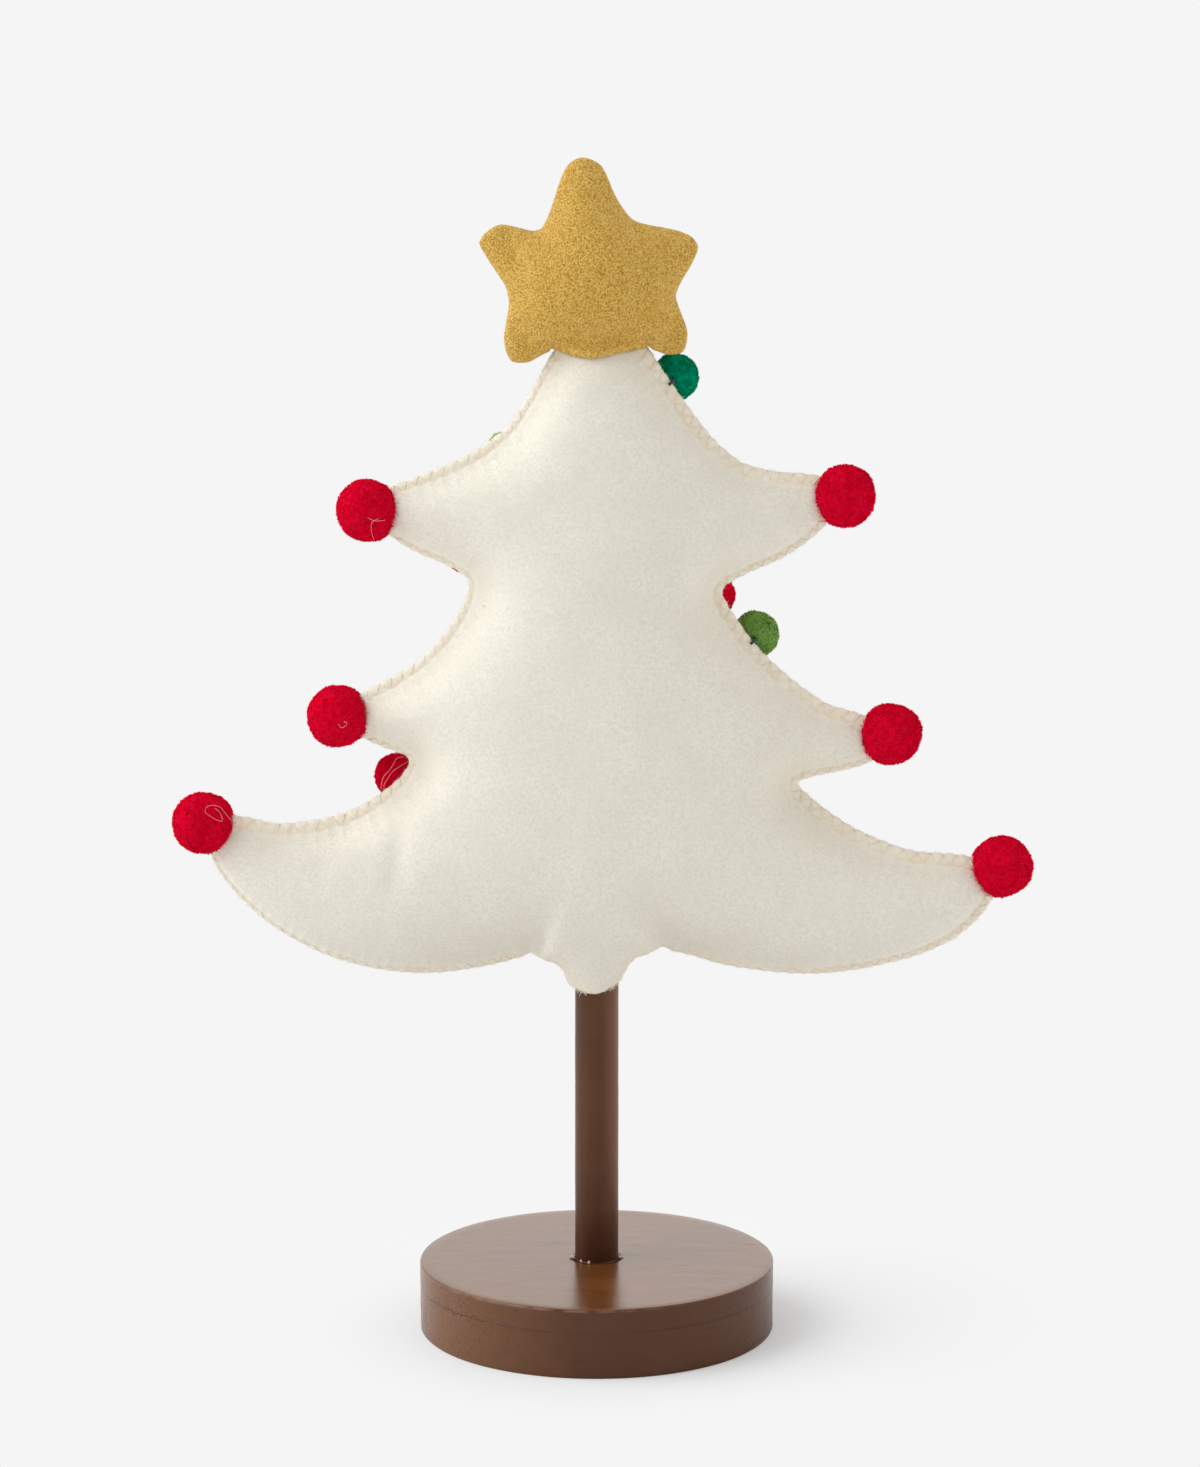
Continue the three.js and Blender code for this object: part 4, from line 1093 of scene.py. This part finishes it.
# Garland ties
# The right-hand ends of the upper and the lower garland are tied to the tree: the yarn comes out
# of the last pom-pom, goes round the felt edge and is caught in the stitches on the back.
tie_step = 0.4 * mm
tie_phase = 0.7
tie_start = 0.62 * garland_pom_radius
tie_cloths = []
for garland in ("upper", "lower"):
    centre = garland_centres[garland][0]
    closest = nearest([centre[[0, 2]]], tree_line[:, [0, 2]])[0]
    edge, out = upright(tree_line[closest][:, [0, 2]])[0], upright(rim_out[closest])[0]
    face = meeting + felt_thickness
    # How far beyond the edge the yarn goes, and at what depth
    course = [(0.9 * mm, face), (0.9 * mm, -0.4 * face), (0.2 * mm, -0.9 * face),
              (-0.8 * mm, -face - 0.75 * mm), (-1.5 * mm, -face - 0.5 * mm)]
    corners = [edge + out * beyond + (0, depth, 0) for beyond, depth in course]
    corners = np.array([centre + unit(corners[0] - centre) * tie_start, *corners])
    tie_cloths.append(surface_of(*yarn(f"garland_tie_{garland}", corners, tie_step, tie_phase)))

# Pom-poms
# Balls of cut wool pile, pulled tight round a core and clipped, so that they are dense and velvety
# with a few long strays. The big red ones are pushed on to the branch tips, the small ones are
# strung on the garlands, and the wool gives way to whatever it is pressed against.
tip_pom_radius = 13 * mm
garland_bore = 1.1 * mm
pom_rings = 52
pom_sides = 84
squeeze_gap = 0.3 * mm
core_depth = 0.1 * mm
fibres_per_square_mm = 8
tufts_per_square_mm = 0.6
tuft_rise = 0.4 * mm
tuft_width = 0.8 * mm
fibre_width = 0.15 * mm
fine_width = 0.05 * mm
root_depth = 0.35 * mm
least_fibre = 0.3 * mm
most_pile = 1.6 * mm
long_share = 0.14
felt_hairs = 300
thread_end_radius = 0.055 * mm
# The wool of each colour: a painted lit colour laid on in clouds, one in between, and painted
# shade for deep in the pile
wool_colours = {
    "red": ((255, 36, 90), (255, 0, 54), (226, 0, 38)),
    "crimson": ((255, 18, 72), (246, 4, 56), (206, 0, 38)),
    "emerald": ((0, 232, 184), (0, 182, 134), (0, 104, 70)),
    "olive": ((190, 228, 138), (154, 202, 104), (94, 140, 52)),
    "lime": ((208, 232, 150), (190, 218, 126), (158, 190, 96)),
}
wool_pile = {}
for colour, (lit, body, deep) in wool_colours.items():
    wool_pile[colour], tree, place = new_material(f"{colour}_pile", {"Roughness": 1, "Specular IOR Level": 0})
    wool = mixed(tree, ramp(tree, clouds(tree, place, 420, 4), 0.35, 0.65), body, lit)
    colour_with(tree, mixed(tree, ramp(tree, marked(tree, "tip"), 1.0, 0.0), wool, deep))
    relief(tree, clouds(tree, place, 1500, 2), 0.5, 0.3 * mm)
in_the_way = [back_felt, front_felt, star_back_cloth, star_front_cloth, *tie_cloths]
# Pale thread ends left by the sewing, as courses of (across, up) in millimetres from the middle
stray_ends = {
    "tip_pom_upper_left": [
        [(0.9, -1.8), (2.3, -2.7), (4.0, -3.3), (6.2, -3.4), (8.1, -3.1)],
        [(5.4, -2.4), (3.7, -3.1), (2.4, -4.3), (2.1, -6.6), (2.4, -9.3), (3.0, -12.0)]],
    "tip_pom_middle_left": [[(1.0, -1.5), (2.2, -3.0), (4.0, -2.2), (4.5, -0.8), (3.3, -0.5)]],
    "tip_pom_lower_left": [
        [(2.4, 8.6), (4.9, 9.2), (7.9, 8.2), (10.5, 5.1), (12.4, 2.0)],
        [(2.4, 8.6), (2.2, 6.7), (5.3, 4.3), (8.6, 2.5), (9.1, 3.7), (7.9, 6.3), (6.1, 8.0)]],
    "garland_pom_lower_9": [
        [(3.0, 9.0), (0.3, 8.7), (-1.2, 6.7), (-2.7, 4.2), (-5.3, 1.4), (-6.4, -1.7), (-6.8, -4.6)],
        [(4.7, 7.2), (1.0, 5.3), (-1.9, 3.1), (-4.9, -1.6), (-5.6, -3.6)]],
}
# The last pom-poms of two garlands swell out past the felt, and just show there from the back.
# The values are how far across and up they swell, in millimetres.
swollen = {"garland_pom_upper_5": (-1.6, 1.9), "garland_pom_middle_7": (-1.1, -1.3)}


def free_reach(centre, directions, most):
    """How far one can go from a centre in each direction before something is in the way"""
    start = Vector(centre)
    near = [cloth for cloth in in_the_way if cloth.find_nearest(start, most)[0] is not None]
    reaches = np.full(len(directions), most)
    for k, direction in enumerate(directions):
        heading = Vector(direction)
        for cloth in near:
            hit = cloth.ray_cast(start, heading, most + squeeze_gap)[3]
            if hit is not None:
                reaches[k] = min(reaches[k], max(hit - squeeze_gap, 1 * mm))
    return reaches


def stray_thread(centre, reach, course):
    """A thread end that lies over the back of a pom-pom, on a course of (across, up) in mm"""
    ways = upright(np.array(course)) * mm
    ways[:, 1] = -np.sqrt(np.maximum(reach ** 2 - (ways ** 2).sum(axis=1), 0))
    ways = unit(ways)
    corners = centre + ways * free_reach(centre, ways, reach)[:, None]
    return tube(curve_through(corners, 0.4 * mm), thread_end_radius, 4)


def pile_on_felt(centre, radius, rng):
    """Feet and heads of the pile ends that are spread over the felt round a pom-pom"""
    feet, heads = [], []
    middle = centre[[0, 2]]
    for side, felt in ((-1, back_felt), (1, front_felt)):
        for turn in rng.uniform(0, 2 * math.pi, felt_hairs):
            way = np.array([math.cos(turn), math.sin(turn)])
            hit = felt_face([middle + way * (radius - 1 * mm)], side, felt)[0]
            if not 0 < hit < radius:
                continue
            foot = middle + way * (math.sqrt(radius ** 2 - hit ** 2) - 0.2 * mm)
            head = foot + (way + rng.normal(0, 0.45, 2)) * rng.uniform(0.8, 2.4) * mm
            stands = felt_face([foot, head], side, felt)
            if stands.min() > 0:
                feet.append((foot[0], side * (stands[0] + 0.15 * mm), foot[1]))
                heads.append((head[0], side * (stands[1] + 0.2 * mm), head[1]))
    return np.array(feet), np.array(heads)


def ball(axis, start):
    """Directions of a ball's points, in rings round its axis, and its faces. The first and last
    ring stand at an angle from the axis and are joined through the bore, or the ball is closed."""
    rings, sides = pom_rings, pom_sides
    across = unit(np.cross(axis, (0.2, 0.9, 0.4)))
    circle = circle_of(sides)
    round_axis = circle[:, :1] * across + circle[:, 1:2] * np.cross(axis, across)
    tilts = np.linspace(start, math.pi - start, rings)[:, None, None]
    ways = (np.cos(tilts) * axis + np.sin(tilts) * round_axis).reshape(-1, 3)
    if start:
        return ways, [net_faces(rings, sides, True)]
    first = (rings - 2) * sides
    this = np.arange(sides)
    following = (this + 1) % sides
    caps = [np.stack([np.full(sides, first), this, following], axis=1),
            np.stack([np.full(sides, first + 1), first - sides + following, first - sides + this], axis=1)]
    ways = np.concatenate([ways[sides:-sides], [axis, -axis]])
    return ways, [net_faces(rings - 2, sides, False), np.concatenate(caps)]


def cut_pile(centre, radius, lumps, in_bore, reach, rng):
    """The fibres of the pile, as wide ends, thin ends, width and shades. The heads of neighbouring
    fibres draw together into tufts, and a few long ones stand out and taper."""
    surface = 4 * math.pi * (radius / mm) ** 2
    tuft_count = int(tufts_per_square_mm * surface)
    level = 1 - 2 * (np.arange(tuft_count) + 0.5) / tuft_count
    round_it = np.arange(tuft_count) * math.pi * (3 - math.sqrt(5))
    flat = np.sqrt(1 - level ** 2)
    tufts = np.stack([flat * np.cos(round_it), flat * np.sin(round_it), level], axis=1)
    tufts = unit(tufts + rng.standard_normal(tufts.shape) * 0.35 / math.sqrt(tuft_count))
    height = tuft_rise + 0.14 * mm * rng.standard_normal(tuft_count)
    tuft_light = rng.uniform(-0.25, 0.1, tuft_count)
    ways = unit(rng.standard_normal((int(fibres_per_square_mm * surface), 3)))
    ways = ways[~in_bore(ways)]
    tuft, aside = nearest(ways, tufts)
    aside = aside * radius / tuft_width
    limit = free_reach(centre, ways, reach + most_pile)
    lift = lumps(ways)
    root = np.minimum(radius - core_depth + lift, limit) - root_depth
    tip = radius + height[tuft] - 0.3 * mm * aside ** 2 + 0.12 * mm * rng.standard_normal(len(ways)) + lift
    tip = np.minimum(tip, limit)
    kept = tip - root > least_fibre
    ways, root, tip, tuft, aside, limit = (values[kept] for values in (ways, root, tip, tuft, aside, limit))
    leaning = ways + 0.4 * (tufts[tuft] - ways) * np.minimum((tip - root) / (1.2 * mm), 1)[:, None]
    leaning += rng.standard_normal(ways.shape) * 0.15 * mm / radius
    heads = centre + unit(leaning) * tip[:, None]
    wide = fibre_width * np.clip(1 + 0.25 * rng.standard_normal(len(ways)), 0.4, 1.6)
    # The cut ends of the fibres are their wide ends, and catch the light: they are painted lighter,
    # with painted shade at their roots and at the edges of each tuft.
    lit = np.full((len(ways), 4), 0.2)
    dark = 1.3 * rng.random(len(ways)) ** 3 + 0.5 * aside ** 2
    lit[:, 1:] = np.clip(1.1 + tuft_light[tuft] - dark, 0, 1)[:, None]
    long = (rng.random(len(ways)) < long_share) & (limit > radius + 1.5 * mm)
    further = 1 + rng.uniform(0.1, 0.65, long.sum()) * mm / radius
    beyond = centre + (heads[long] - centre) * further[:, None]
    return [(heads, centre + ways * root[:, None], wide, lit),
            (heads[long], beyond, fine_width, np.full((long.sum(), 4), 0.8))]


def pom(name, centre, radius, axis, bore, colour, seed, strung=(True, True)):
    """One pom-pom: a lumpy core, bored along its axis where a yarn goes through, its pile and any
    thread ends on it. strung says whether the yarn comes out against and along the axis."""
    rng = np.random.default_rng(seed)
    fuller = np.array(swollen.get(name, (0, 0))) * mm
    swelling = math.hypot(*fuller)
    swollen_way = np.array([fuller[0], 0, fuller[1]]) / max(swelling, mm)
    axis = unit(axis)
    core = radius - core_depth
    start = math.asin(bore / core) if bore else 0

    def lumps(ways):
        """How far the ball stands out unevenly in each direction"""
        uneven = (0.055 * noise_at(ways, 0.75, seed) + 0.02 * noise_at(ways, 0.25, seed)) * radius
        return uneven + swelling * np.maximum(ways @ swollen_way, 0) ** 6

    def in_bore(ways):
        """Whether each direction leads out through the bore, where a yarn fills it"""
        from_axis, mouth = ways @ axis, math.cos(start * 1.15)
        open_ends = (strung[0] & (-from_axis > mouth)) | (strung[1] & (from_axis > mouth))
        return open_ends & (bore > 0)

    ways, faces = ball(axis, start)
    far = np.minimum(core + lumps(ways), free_reach(centre, ways, radius + swelling))
    points = centre + ways * far[:, None]
    # The core lies deep in the pile and takes painted shade.
    marks = [np.full(len(points), 0.3)]
    fibres = cut_pile(centre, radius, lumps, in_bore, radius + swelling, rng)
    if not bore:
        feet, heads = pile_on_felt(centre, radius, rng)
        fibres.append((feet, heads, fine_width, np.full((len(feet), 4), 0.7)))
    for wide_ends, thin_ends, width, shades in fibres:
        hairs, hair_faces = spikes(wide_ends, thin_ends, width, rng)
        faces.append(hair_faces + len(points))
        marks.append(shades.ravel())
        points = np.concatenate([points, hairs])
    wool_faces = sum(len(group) for group in faces)
    for course in stray_ends.get(name, ()):
        thread = stray_thread(centre, radius + 0.75 * mm, course)
        faces += [thread[1] + len(points), thread[2] + len(points)]
        marks.append(np.zeros(len(thread[0])))
        points = np.concatenate([points, thread[0]])
    looks = np.arange(sum(len(group) for group in faces)) >= wool_faces
    piece = new_piece(name, points, faces, [wool_pile[colour], cotton],
                      {"tip": np.concatenate(marks)}, looks)


tip_names = ("upper_left", "middle_left", "lower_left", "lower_right", "middle_right", "upper_right")
for k, tip_name in enumerate(tip_names):
    name = f"tip_pom_{tip_name}"
    centre = ball_centre(name, tip_pom_radius)
    pom(name, centre, tip_pom_radius, np.array([centre[0], 0.001, 0.02]), 0, "red", 40 + k)
for garland, centres in garland_centres.items():
    headings = np.gradient(centres, axis=0)
    for k, centre in enumerate(centres):
        pom(f"garland_pom_{garland}_{k + 1}", centre, garland_pom_radius, headings[k], garland_bore,
            garland_colours[garland][k], 60 + 10 * len(garland) + k, (k > 0, k < len(centres) - 1))

# Studio
# A pale floor that runs into a pale background, a broad soft lamp high on the left, and light from
# all round that is strongest from the sides and from behind the tree.
backdrop_light = 0.913
least_light = 0.41
light_share = 0.5
back_light = 1.85
right_light = 0.6
white = (1, 1, 1, 1)
floor, tree, place = new_material("pale_floor", {
    "Base Color": (0.87, 0.875, 0.885, 1), "Roughness": 1, "Specular IOR Level": 0})
away = node(tree, "ShaderNodeVectorMath", {0: place, 1: (20 * mm, 12 * mm, 0)}, operation="DISTANCE")
share = maths(tree, "MULTIPLY", ramp(tree, away.outputs["Value"], 20 * mm, 190 * mm),
              node(tree, "ShaderNodeLightPath").outputs["Is Camera Ray"])
near_floor = tree.nodes["Principled BSDF"].outputs[0]
glow = node(tree, "ShaderNodeEmission", {"Color": white, "Strength": backdrop_light}).outputs[0]
both = node(tree, "ShaderNodeMixShader", {0: share, 1: near_floor, 2: glow})
tree.links.new(both.outputs[0], tree.nodes["Material Output"].inputs["Surface"])
floor_half = 8000 * mm
corners = [(across * floor_half, deep * floor_half, 0)
           for across, deep in ((-1, -1), (1, -1), (1, 1), (-1, 1))]
floor_piece = loose_object("floor", corners, [(0, 1, 2, 3)])
floor_piece.data.materials.append(floor)

world = bpy.data.worlds.new("studio")
world.use_nodes = True
bpy.context.scene.world = world
tree = world.node_tree
sky = node(tree, "ShaderNodeTexCoord").outputs["Generated"]
ways = node(tree, "ShaderNodeSeparateXYZ", {"Vector": sky}).outputs
to_side = maths(tree, "MULTIPLY", ways["X"], ways["X"])
to_back = maths(tree, "MAXIMUM", ways["Y"], 0)
behind = maths(tree, "MULTIPLY", to_back, to_back)
bright = maths(tree, "MULTIPLY_ADD", behind, back_light, to_side)
fill = maths(tree, "MULTIPLY_ADD", ways["X"], right_light, bright)
level = maths(tree, "MULTIPLY_ADD", fill, light_share, least_light)
around = node(tree, "ShaderNodeBackground", {"Color": (1, 0.997, 0.985, 1), "Strength": level}).outputs[0]
backdrop = node(tree, "ShaderNodeBackground", {"Color": white, "Strength": backdrop_light}).outputs[0]
seen = node(tree, "ShaderNodeLightPath").outputs["Is Camera Ray"]
either = node(tree, "ShaderNodeMixShader", {0: seen, 1: around, 2: backdrop})
tree.links.new(either.outputs[0], tree.nodes["World Output"].inputs["Surface"])

lamp = bpy.data.lights.new("soft_lamp", "SUN")
lamp.energy = 2.35
lamp.angle = math.radians(60)
lamp.color = (0.955, 0.985, 1)
lamp_object = bpy.data.objects.new("soft_lamp", lamp)
lamp_object.rotation_euler = Vector((0.8, 0.1, -0.6)).to_track_quat("-Z", "Y").to_euler()
bpy.context.scene.collection.objects.link(lamp_object)
bpy.context.scene.view_settings.view_transform = "Standard"
